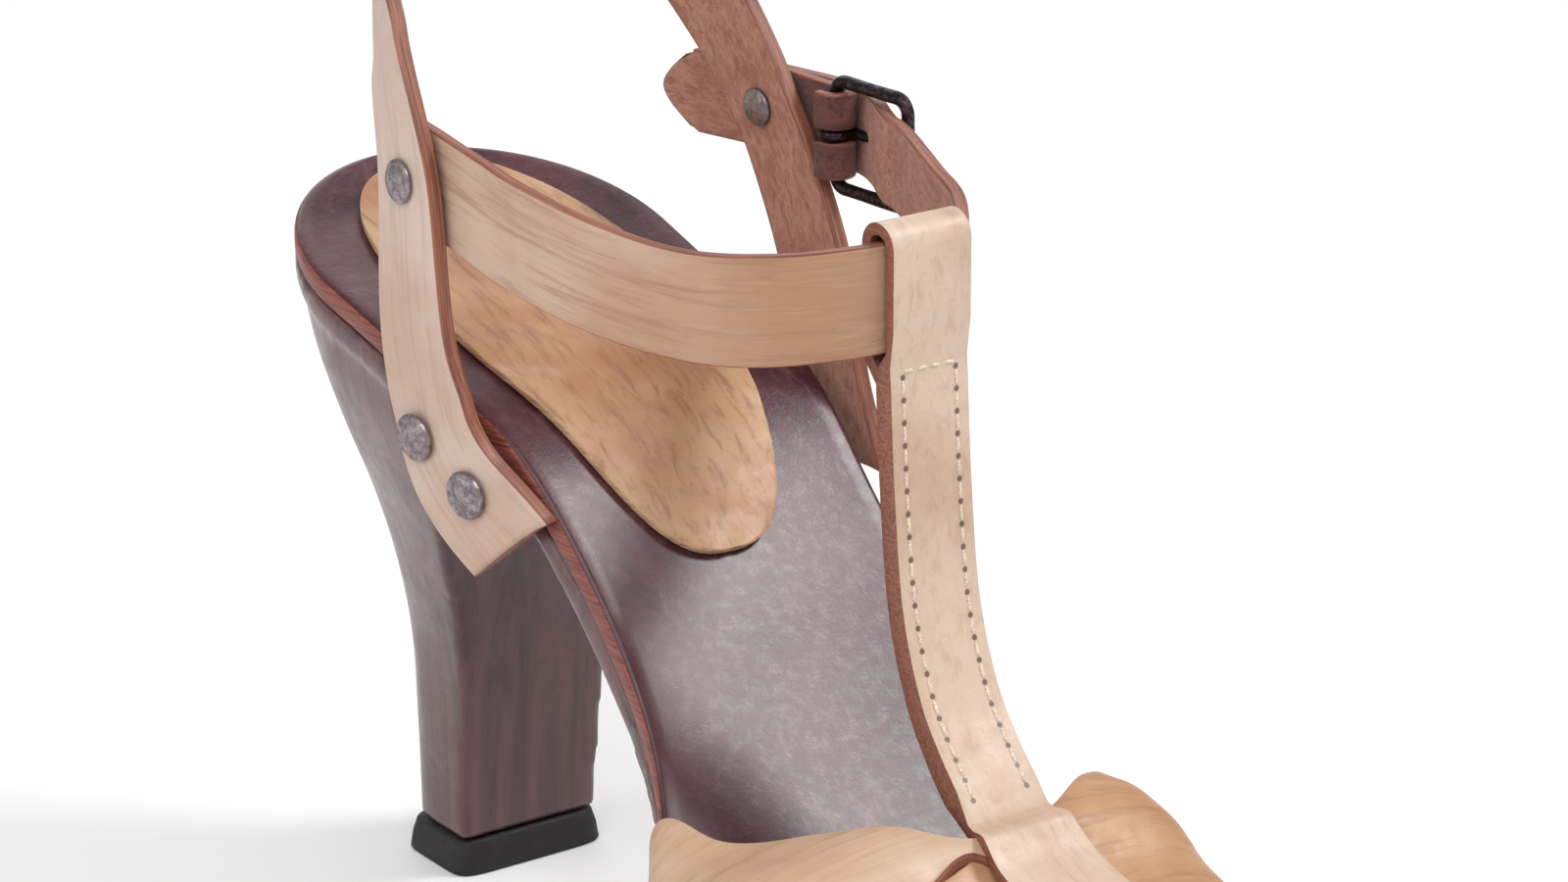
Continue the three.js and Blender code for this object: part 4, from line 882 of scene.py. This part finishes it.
def ribbon(name, rows, thickness, step, start, stop, materials, columns=13, creases=(), wave=0.0):
    """Strap along rows of (middle, face, width), with rounded edges and soft creases.
    A crease is (share along, slant, depth, width)."""
    frame_at = strap_frame(rows)
    samples = np.array([frame_at(t)[0] for t in np.linspace(0, 1, 200)])
    total = np.linalg.norm(np.diff(samples, axis=0), axis=1).sum()
    steps = int(total / step)
    section = strap_section(thickness, columns)
    points, lay = [], []
    for i in range(steps + 1):
        for v, inset, lift, _ in section:
            t = lerp(start(v), stop(v), i / steps)
            middle, face, side, width = frame_at(t)
            run = t * total
            out = v * width / 2 - np.sign(v) * inset * (abs(v) == 1)
            out += np.sign(v) * wave * math.sin(run * 0.21 + v) * (abs(v) > 0.5)
            dip = sum(d * math.exp(-((run - at * total - slant * out) / w) ** 2)
                      for at, slant, d, w in creases)
            points.append(middle + side * out + face * (lift - dip))
            lay.append((run, out, lift))
    count = len(section)
    points, faces = rings_body([points[i * count:(i + 1) * count] for i in range(steps + 1)])
    slots = [slot for *_, slot in section] * steps + [2, 2]
    return make_object(name, points, faces, slots, lay, materials)


def cut_out(piece, points, faces):
    """Cuts a closed body out of a piece"""
    cutter = make_object("cutter", points, faces, None, None, [EDGE])
    cut = piece.modifiers.new("cut", "BOOLEAN")
    cut.object = cutter
    cut.solver = "EXACT"
    apply_modifiers(piece)
    bpy.data.objects.remove(cutter)


def cut_hole(piece, rivet):
    """Cuts the round hole for a rivet's pin"""
    reach, radius = 9, PIN_RADIUS + GAP
    points, faces = turned_body([(0, -reach), (radius, -reach), (radius, reach), (0, reach)], 32)
    cut_out(piece, stand(points, *strap_spot(rivet["step"], 0, 0)), faces)


sling_rows = []
for side, along, rise, width, turn in zip(*SLING.values()):
    a = math.radians(turn)
    spot = place(side * BALL_WIDTH, along * LENGTH, rim_height(along * LENGTH) + rise * SLING_RISE)
    sling_rows.append((spot, np.array([-math.cos(a), math.sin(a), 0]), width * SLING_WIDTH))
sling_frame = strap_frame(sling_rows)
SLING_STEPS = len(sling_rows) - 1
rivet_height = sling_rows[3][0][2]
outer_rivet = sling_frame(RIVETS["outer"]["step"] / SLING_STEPS)[0]

BAR_HOLE = BUCKLE_BAR * 0.7
FOLD_MIDDLE = BAR_HOLE + FOLD_THICKNESS / 2
FOLD_WIDTH = BUCKLE_LENGTH - 2 * BUCKLE_BAR - 1.2
rear_bar = np.array([outer_rivet[0] + STRAP_THICKNESS / 2 + BUCKLE_STANDOFF, outer_rivet[1] - BUCKLE_REACH,
                     rivet_height - 0.012 * SLING_RISE])


def by_buckle(forward, out, up=0.0):
    """World point from the rear bar: forward and outward in plan, and by height"""
    a = math.radians(BUCKLE_TILT)
    forward, out, up = np.broadcast_arrays(forward, out, up)
    x = out * math.cos(a) + forward * math.sin(a)
    y = out * math.sin(a) - forward * math.cos(a)
    return np.stack([x, y, up], -1) + rear_bar


def level_rows(points, widths):
    """Rows of a strap that lies level, its faces upright"""
    rows = []
    for i, point in enumerate(points):
        run = points[min(i + 1, len(points) - 1)] - points[max(i - 1, 0)]
        run = unit(run * (1, 1, 0))
        rows.append((point, np.array([run[1], -run[0], 0]), widths[i]))
    return rows


BAND_SLACK = 0.1
band_inside = -(BUCKLE_BAR / 2 + GAP + BAND_THICKNESS / 2 + BAND_SLACK)
band_outside = BAR_HOLE + FOLD_THICKNESS + GAP + BAND_THICKNESS / 2 + BAND_SLACK
band_points = [place(side * BALL_WIDTH, along * LENGTH, rivet_height - drop * SLING_RISE)
               for side, along, drop, _ in zip(*BAND.values())]
for forward, level, drop in zip(*BAND_END.values()):
    point = by_buckle(forward * BUCKLE_REACH, lerp(band_inside, band_outside, level))
    point[2] = rivet_height - drop * SLING_RISE
    band_points.append(point)
band_widths = np.concatenate([BAND["width"], np.full(len(BAND_END["drop"]), BAND_END_WIDTH)]) * BAND_WIDTH
band_rows = level_rows(band_points, band_widths)


def strap_spot(step, v, lift):
    middle, face, side, width = sling_frame(step / SLING_STEPS)
    return middle + side * (v * width / 2) + face * (STRAP_THICKNESS / 2 + lift), face


def make_sling():
    cut = lambda v: 0.009 * (1 + v)
    creases = [(0.10, 0.2, 0.25, 3), (0.275, 0.15, 0.20, 4), (0.62, -0.1, 0.25, 4), (0.80, 0.1, 0.2, 3)]
    piece = ribbon("back_strap_leather", sling_rows, STRAP_THICKNESS, 1.3,
                   lambda v: 0.018 - cut(v), lambda v: 0.985 + 0.014 * v, RISER, 11, creases, 0.12)
    for rivet in RIVETS.values():
        cut_hole(piece, rivet)
    return link(piece, ["back_strap"])


def make_band():
    creases = [(0.14, 0.5, 0.22, 3), (0.24, 0.6, 0.20, 4), (0.33, 0.4, 0.15, 5), (0.50, 0, 0.15, 3),
               (0.56, 0.1, 0.2, 2.5), (0.665, 0, 0.2, 2)]
    piece = ribbon("ankle_band_leather", band_rows, BAND_THICKNESS, 1.1, lambda v: 0,
                   lambda v: 1 - 0.026 * abs(v) ** 1.6, BAND_SET, 15, creases, 0.1)
    return link(piece, ["ankle_band"])


def make_buckle_strap():
    rows = [(-1.477 * BUCKLE_REACH, 1.04), (-BUCKLE_REACH, 1.22), (-0.51 * BUCKLE_REACH, 1.04),
            (-1.6 * FOLD_MIDDLE, 1)]
    rows += [(FOLD_MIDDLE * math.cos(a), math.sin(a)) for a in np.radians(np.arange(90, -91, -30))]
    rows.append((-0.56 * FOLD_MIDDLE, -1))
    points = [by_buckle(forward, out * FOLD_MIDDLE) for forward, out in rows]
    piece = ribbon("buckle_strap_leather", level_rows(points, [FOLD_WIDTH] * len(points)), FOLD_THICKNESS,
                   0.8, lambda v: 0.016 * v * v, lambda v: 1, (BUCKLE_FLESH, BUCKLE_FLESH, EDGE), 13)
    corners = np.array([(x, y, z) for z in (-1, 1) for x, y in ((-1, -1), (1, -1), (1, 1), (-1, 1))]) / 2
    opening = by_buckle(0, 0) + corners * (3.6 * FOLD_MIDDLE, 3.3 * FOLD_MIDDLE, PRONG_WIDTH + 2 * GAP)
    cut_out(piece, *rings_body([opening[:4], opening[4:]]))
    cut_hole(piece, RIVETS["outer"])
    return link(piece, ["buckle_strap"])


# Head of a nail or rivet: shares of its radius and of its height, from the rim to the middle
HEAD_PROFILE = [(0.97, 0.42), (0.90, 0.58), (0.83, 0.62), (0.76, 0.60), (0.68, 0.66), (0.52, 0.84),
                (0.34, 0.94), (0.16, 0.99), (0, 1)]


def make_fasteners():
    """Nails and rivets, each with a groove inside its rim and a low dome"""
    def head(radius, height):
        foot = [(0, 0), (radius * 0.97, 0), (radius, 0.12), (radius, 0.35)]
        return foot + [(radius * out, height * up) for out, up in HEAD_PROFILE]

    def piece(name, profile, spot, normal, node):
        points, faces = turned_body(profile)
        made = make_object(name, stand(points, spot, normal), faces, None, None, [PEWTER])
        return link(made, [node])

    for name, (step, v) in NAILS.items():
        spot, normal = strap_spot(step, v, GAP + SEAT_SLACK)
        piece(f"nail_{name}", head(NAIL_RADIUS, NAIL_DOME), spot, normal, f"strap_nail_{name}")
    for name, (u, share, lift) in TOE_NAILS.items():
        spot, normal = vamp_spot(u, share * LENGTH, lift)
        piece(f"vamp_nail_{name}", head(NAIL_RADIUS, NAIL_DOME), spot, normal, f"toe_nail_{name}")
    for name, rivet in RIVETS.items():
        spot, normal = strap_spot(rivet["step"], 0, rivet["over"] + GAP)
        height = 0.8 if rivet["over"] else NAIL_DOME * 0.8
        inside = -(rivet["over"] + STRAP_THICKNESS + rivet["under"] + 2 * GAP)
        burr = RIVET_RADIUS * 0.9
        end = inside - BURR_HEIGHT
        profile = [(0, end), (burr * 0.9, end), (burr, end + 0.2), (burr, inside)]
        profile += [(PIN_RADIUS, inside), (PIN_RADIUS, 0)]
        piece(f"rivet_{name}", profile + head(RIVET_RADIUS, height)[1:], spot, normal, f"strap_rivet_{name}")


def swept(path, radius_at, normal, closed, segments=16, squash=1.0):
    """Bar of round section along a path; "normal" is square to the path's plane"""
    rings = []
    count = len(path)
    for i, point in enumerate(path):
        after = path[(i + 1) % count] if closed or i + 1 < count else point
        before = path[i - 1] if closed or i else point
        tangent = unit(after - before)
        side = np.cross(tangent, normal)
        turn = 2 * math.pi * np.arange(segments) / segments
        radius = radius_at(i / (count - 1))
        round_bar = np.outer(np.cos(turn), side) + squash * np.outer(np.sin(turn), normal)
        rings.append(point + radius * round_bar)
    if not closed:
        return rings_body(rings)
    points, faces = rings_body(rings, caps=False)
    last = (count - 1) * segments
    for k in range(segments):
        j = (k + 1) % segments
        faces.append((last + k, last + j, j, k))
    return points, faces


def make_buckle():
    bar = BUCKLE_BAR / 2
    high = BUCKLE_LENGTH / 2 - bar
    long = BUCKLE_LENGTH - BUCKLE_BAR
    corner = 2.6
    path = []
    for forward, up, first in ((long - corner, corner - high, -90), (long - corner, high - corner, 0),
                               (corner, high - corner, 90), (corner, corner - high, 180)):
        for a in np.radians(np.linspace(first, first + 90, 9)):
            path.append((forward + corner * math.cos(a), up + corner * math.sin(a)))
    dense = []
    for a, b in zip(path, path[1:] + path[:1]):
        steps = max(1, int(math.dist(a, b) / 1.0))
        dense += [lerp(np.array(a), np.array(b), k / steps) for k in range(steps)]
    world = [by_buckle(forward, 0, up) for forward, up in dense]
    normal = unit(by_buckle(0, 1) - by_buckle(0, 0))
    points, faces = swept(world, lambda t: bar * (1 + 0.03 * math.sin(40 * t)), normal, True)
    piece = make_object("buckle_frame_metal", points, faces, None, None, [DARK_METAL])
    return link(piece, ["buckle_frame"])


def make_prong():
    """Ring round the rear bar and a tapering pin that reaches over the front bar"""
    middle = BUCKLE_BAR / 2 + GAP + 0.85
    radius = BAR_HOLE + 0.65
    upward = np.array([0, 0, 1.0])
    turns = np.radians(np.linspace(120, 400, 30))
    ring = [by_buckle(radius * math.cos(a), radius * math.sin(a)) for a in turns]
    run = [by_buckle(forward, lerp(radius, middle, ease(0, 5, forward))) for forward in
           np.linspace(-radius * 0.2, BUCKLE_LENGTH, 34)]
    loop = swept(ring, lambda t: 0.72, upward, False, 14, 1.25)
    pin = swept(run, lambda t: 0.95 - 0.25 * t if t < 0.97 else 0.5, upward, False, 14)
    points, faces = joined([loop, pin])
    piece = make_object("buckle_prong_metal", points, faces, None, None, [DARK_METAL])
    return link(piece, ["buckle_prong"])


# Toe straps

vamp_rise = through(VAMP["along"], VAMP["rise"])
VAMP_SQUARE = 4
VAMP_TILT = 1.4


def vamp_point(u, along, off):
    """The surface that the toe straps lie on, "off" away from the sole's sides and the foot"""
    inner, outer = footprint(along)
    middle, half = (outer - inner) / 2, (inner + outer) / 2 + off
    rise = INSTEP_RISE * vamp_rise(along / LENGTH) + off
    q = np.minimum(abs(u), 1)
    arch = (1 - q ** VAMP_SQUARE) ** (1 / VAMP_SQUARE)
    drop = np.maximum(abs(u) - 1, 0) / 0.3 * SKIRT_DROP
    tilt = VAMP_TILT * np.sign(u) * q * arch
    return place(middle + np.sign(u) * q * half, along, rim_height(along) + arch * rise + tilt - drop)


def band_lift(along):
    return VAMP_GAP


def wing_lift(along):
    return VAMP_GAP + (VAMP_THICKNESS - WING_LAP) * ease(0.66, 0.74, along / LENGTH)


TOE_NAILS = {
    "inner_back": (-1.16, 0.700, wing_lift),
    "inner_front": (-1.16, 0.846, band_lift),
    "outer_back": (1.16, 0.735, band_lift),
    "outer_front": (1.16, 0.820, band_lift),
}


def vamp_spot(u, along, lift):
    off = lift(along) + VAMP_THICKNESS + GAP
    run = vamp_point(u, along + 1, off) - vamp_point(u, along - 1, off)
    return vamp_point(u, along, off), unit(np.array([-run[1], run[0], 0])) * np.sign(u)


def make_vamp_strap(name, rows, lift, steps, materials, creases):
    """Toe strap with soft creases: (across, share of its breadth, slant, depth, width in mm)"""
    back, front = through(rows["across"], rows["back"]), through(rows["across"], rows["front"])
    squeeze = lambda u: u if abs(u) > 1 else math.copysign(1 - (1 - abs(u)) ** (1 / 2.2), u)
    spread = lambda t: t if abs(t) > 1 else math.copysign(1 - (1 - abs(t)) ** 2.2, t)
    first, last = squeeze(rows["across"][0]), squeeze(rows["across"][-1])
    columns = 26
    top, low, lay = [], [], []
    for i in range(steps + 1):
        u = spread(lerp(first, last, i / steps))
        shares = np.linspace(0, 1, columns)
        along = LENGTH * lerp(back(u), front(u), shares)
        x_mm = u * BALL_WIDTH / 2
        dip = sum(d * np.exp(-((x_mm - at * BALL_WIDTH / 2 - slant * (along - along.mean())) / w) ** 2)
                  for at, slant, d, w in creases)
        run = lerp(first, last, i / steps) * BALL_WIDTH * 0.6
        top.append(vamp_point(u, along, lift(along) + VAMP_THICKNESS - dip))
        low.append(vamp_point(u, along, lift(along)))
        lay.append(np.stack([np.full(columns, run), along, np.zeros(columns)], -1))
    points, faces, slots = slab(np.array(top), np.array(low))
    lay = np.array(lay).reshape(-1, 3)
    lay = np.concatenate([lay, lay - (0, 0, VAMP_THICKNESS)])
    piece = make_object(name, points, faces, slots, lay, materials)
    return link(bevel(piece, 0.5, 3, 55), ["toe_and_t_strap"])


def uniform_curve(points, steps):
    """Curve through points of a plane, each stretch with the same number of steps"""
    points = np.asarray(points, float)
    made = []
    last = len(points) - 1
    for k in range(steps + 1):
        place_on = last * k / steps
        i = min(int(place_on), last)
        s = place_on - i
        p = [points[min(max(n, 0), last)] for n in (i - 1, i, i + 1, i + 2)]
        m1, m2 = (p[2] - p[0]) / 2, (p[3] - p[1]) / 2
        made.append((2 * p[1] - 2 * p[2] + m1 + m2) * s ** 3 + (-3 * p[1] + 3 * p[2] - 2 * m1 - m2) * s ** 2
                    + m1 * s + p[1])
    return np.array(made)


loop_along = BAND["along"][LOOP_ROW] * LENGTH
loop_z = rivet_height - BAND["drop"][LOOP_ROW] * SLING_RISE
foot_along = T_STRAP["along"][0] * LENGTH
foot_top = float(rim_height(foot_along) + INSTEP_RISE * vamp_rise(T_STRAP["along"][0]) + VAMP_THICKNESS)
t_side = through(lerp(foot_top, loop_z, T_STRAP["rise"]), T_STRAP["side"])


def t_outline():
    """Side view of the T-strap: its outline from the foot's end up and over the loop, and the loop's slot"""
    heights = lerp(foot_top, loop_z, T_STRAP["rise"])
    path = uniform_curve(np.stack([T_STRAP["along"] * LENGTH, heights], -1), 60)
    run = np.gradient(path, axis=0)
    normal = np.stack([run[:, 1], -run[:, 0]], -1) / np.linalg.norm(run, axis=1)[:, None]
    slot_half = BAND_THICKNESS / 2 + LOOP_GAP
    slot_rise = BAND_WIDTH / 2 + LOOP_GAP
    wall = slot_half + T_LAYER

    def arc(radius, steps):
        a = np.linspace(0, math.pi, steps + 1)
        rise = slot_rise - slot_half
        return np.stack([loop_along + np.cos(a) * radius, loop_z + rise + np.sin(a) * radius], -1)

    foot_line = LENGTH * np.linspace(0.862, 0.752, 40)
    over_wing = ease(0.757, 0.775, foot_line / LENGTH)
    off = VAMP_THICKNESS + GAP - 0.5 + (VAMP_THICKNESS - 0.1) * over_wing
    rise = lambda lift: np.stack([foot_line, vamp_point(0.1, foot_line, GAP + off + lift)[:, 2]], -1)
    shoulder = lambda side: np.array([[loop_along + side * wall * 0.8, loop_z - slot_rise - 1],
                                      [loop_along + side * wall, loop_z - slot_rise * 0.5]])
    front = [rise(T_LAYER), path[3:] + normal[3:] * T_LAYER, shoulder(1), arc(wall, 24)]
    back = [shoulder(-1)[::-1], (path[3:] - normal[3:] * T_LAYER)[::-1], rise(-LAP)[::-1]]
    hole = np.concatenate([arc(slot_half, 24), [[loop_along - slot_half, loop_z - slot_rise + 1.2],
                                                [loop_along, loop_z - slot_rise - 1.6],
                                                [loop_along + slot_half, loop_z - slot_rise + 1.2]]])
    return np.concatenate(front + back), hole


def t_point(along, z, w):
    """Point of the T-strap at a share of its width, -0.5 to 0.5"""
    widen = 1 + 0.2 * ease(0.73, 0.80, along / LENGTH)
    return place(BALL_WIDTH * t_side(z) + w * T_WIDTH * widen, along, z)


def make_t_strap():
    outline, hole = t_outline()
    ring = np.concatenate([outline, hole])
    columns = np.linspace(-0.5, 0.5, 12)
    points = np.concatenate([t_point(ring[:, 0], ring[:, 1], w) for w in columns])
    count = len(ring)
    length = np.concatenate([[0], np.cumsum(np.linalg.norm(np.diff(outline, axis=0), axis=1))])
    length = np.concatenate([length, np.zeros(len(hole))])
    lay = np.concatenate([np.stack([length, np.full(count, w * T_WIDTH), ring[:, 1]], -1) for w in columns])
    faces, slots = [], []
    for first, size, slot in ((0, len(outline), 0), (len(outline), len(hole), 1)):
        for c in range(len(columns) - 1):
            for k in range(size):
                a, b = first + k, first + (k + 1) % size
                faces.append((c * count + a, c * count + b, (c + 1) * count + b, (c + 1) * count + a))
                slots.append(slot)
    cap = tessellate_polygon([[Vector((*p, 0)) for p in outline], [Vector((*p, 0)) for p in hole]])
    for base in (0, (len(columns) - 1) * count):
        faces += [tuple(base + i for i in triangle) for triangle in cap]
        slots += [2] * len(cap)
    piece = make_object("t_strap_leather", points, faces, slots, lay, T_SET)
    return link(bevel(piece, 0.45, 3, 60), ["toe_and_t_strap"])


def make_stitches():
    """Short raised stitches between the T-strap's pinholes, in two rows and one across the top"""
    outline, _ = t_outline()
    run = np.concatenate([[0], np.cumsum(np.linalg.norm(np.diff(outline, axis=0), axis=1))])
    spot_at = lambda t: np.array([np.interp(t, run, outline[:, k]) for k in (0, 1)])
    spots = []
    place_at = STITCH_ROWS["first"] + STITCH_ROWS["pitch"] / 2
    while place_at < STITCH_ROWS["last"] - STITCH_ROWS["pitch"]:
        before, after = spot_at(place_at - 0.8), spot_at(place_at + 0.8)
        for v in (-STITCH_ROWS["offset"], STITCH_ROWS["offset"]):
            shares = np.linspace(-0.28, 1.28, 7)
            spots.append([t_point(*lerp(before, after, s), v / T_WIDTH) for s in shares])
        place_at += STITCH_ROWS["pitch"]
    top = spot_at(STITCH_ROWS["last"] - 1.6)
    for v in np.arange(-3.9, 4, 2.6):
        spots.append([t_point(*top, (v + s) / T_WIDTH) for s in np.linspace(-0.85, 0.85, 7)])
    radius = lambda t: 0.34 * math.sqrt(max(1 - (2 * t - 1) ** 4, 0.05))
    outward = np.array([0.05, -0.8, 0.6])
    points, faces = joined([swept(np.array(path), radius, outward, False, 8, 0.8) for path in spots])
    piece = make_object("t_strap_stitches", points, faces, None, None, [THREAD])
    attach(piece, "root")


make_wooden_sole()
make_heel_tip()
make_tread()
make_footbed()
make_heel_pad()
make_sling()
make_band()
make_buckle_strap()
make_buckle()
make_prong()
make_fasteners()
make_vamp_strap("toe_band_leather", TOE_BAND, band_lift, 110, TOE_SET,
                [(-0.55, 0.5, 0.25, 3), (0.45, -0.6, 0.3, 3), (0.62, -0.5, 0.25, 2.5), (0.1, 0.3, 0.2, 4)])
make_vamp_strap("wing_leather", WING, wing_lift, 90, WING_SET,
                [(-0.75, 0.4, 0.25, 3), (-0.5, 0.6, 0.25, 3)])
make_t_strap()
make_stitches()


# Studio: pale floor, soft lights and the photo's camera

def make_floor():
    size = 3.0
    row = 25
    grid = np.linspace(-size, size, row)
    points = [(x / MM, y / MM, 0) for x in grid for y in grid]
    faces = grid_faces(row, row)
    f = Finish("studio_floor", Roughness=0.75, Specular_IOR_Level=0.15)
    cloud = f.noise(f.space(), 0.004, 2)
    f.set("Base Color", f.mix(cloud, colour("#f6f6f6"), colour("#f2f2f2")))
    floor = make_object("floor", points, faces, None, None, [f.material])


def soft_light(name, spot, aim, size, power):
    light = bpy.data.lights.new(name, "AREA")
    light.shape = "RECTANGLE"
    light.size, light.size_y = size
    light.energy = power
    lamp = bpy.data.objects.new(name, light)
    lamp.location = spot
    lamp.rotation_euler = (Vector(aim) - Vector(spot)).to_track_quat("-Z", "Y").to_euler()
    bpy.context.collection.objects.link(lamp)


def make_studio():
    make_floor()
    aim = (0, -0.08, 0.08)
    soft_light("key", (-0.55, -0.75, 1.15), aim, (0.9, 0.9), 10.5)
    soft_light("arch_gleam", (0.75, -0.45, 1.05), aim, (0.36, 0.3), 9.5)
    soft_light("side_fill", (-1.3, 0.25, 0.55), aim, (0.9, 0.9), 4.2)
    soft_light("back_fill", (0.5, 1.2, 0.8), aim, (1.0, 0.8), 3.6)
    world = bpy.data.worlds.new("studio")
    world.use_nodes = True
    world.node_tree.nodes["Background"].inputs["Color"].default_value = (1, 1, 1, 1)
    world.node_tree.nodes["Background"].inputs["Strength"].default_value = 0.5
    bpy.context.scene.world = world
    bpy.context.scene.view_settings.view_transform = "Standard"


CAMERA_SPOT = Vector((-414.135, -664.140, 345.879)) * MM
CAMERA_AIM = Vector((11.359, -68.341, 91.225)) * MM
CAMERA_ROLL = -0.109
CAMERA_LENS = 111.67


def make_camera():
    camera = bpy.data.objects.new("camera", bpy.data.cameras.new("camera"))
    camera.data.lens = CAMERA_LENS
    camera.data.sensor_width = 36
    camera.location = CAMERA_SPOT
    turn = (CAMERA_AIM - CAMERA_SPOT).to_track_quat("-Z", "Y").to_matrix()
    roll = Matrix.Rotation(math.radians(CAMERA_ROLL), 3, "Z")
    camera.rotation_euler = (turn @ roll).to_euler()
    camera.data.clip_start, camera.data.clip_end = 0.05, 20
    bpy.context.collection.objects.link(camera)
    bpy.context.scene.camera = camera


make_studio()
make_camera()
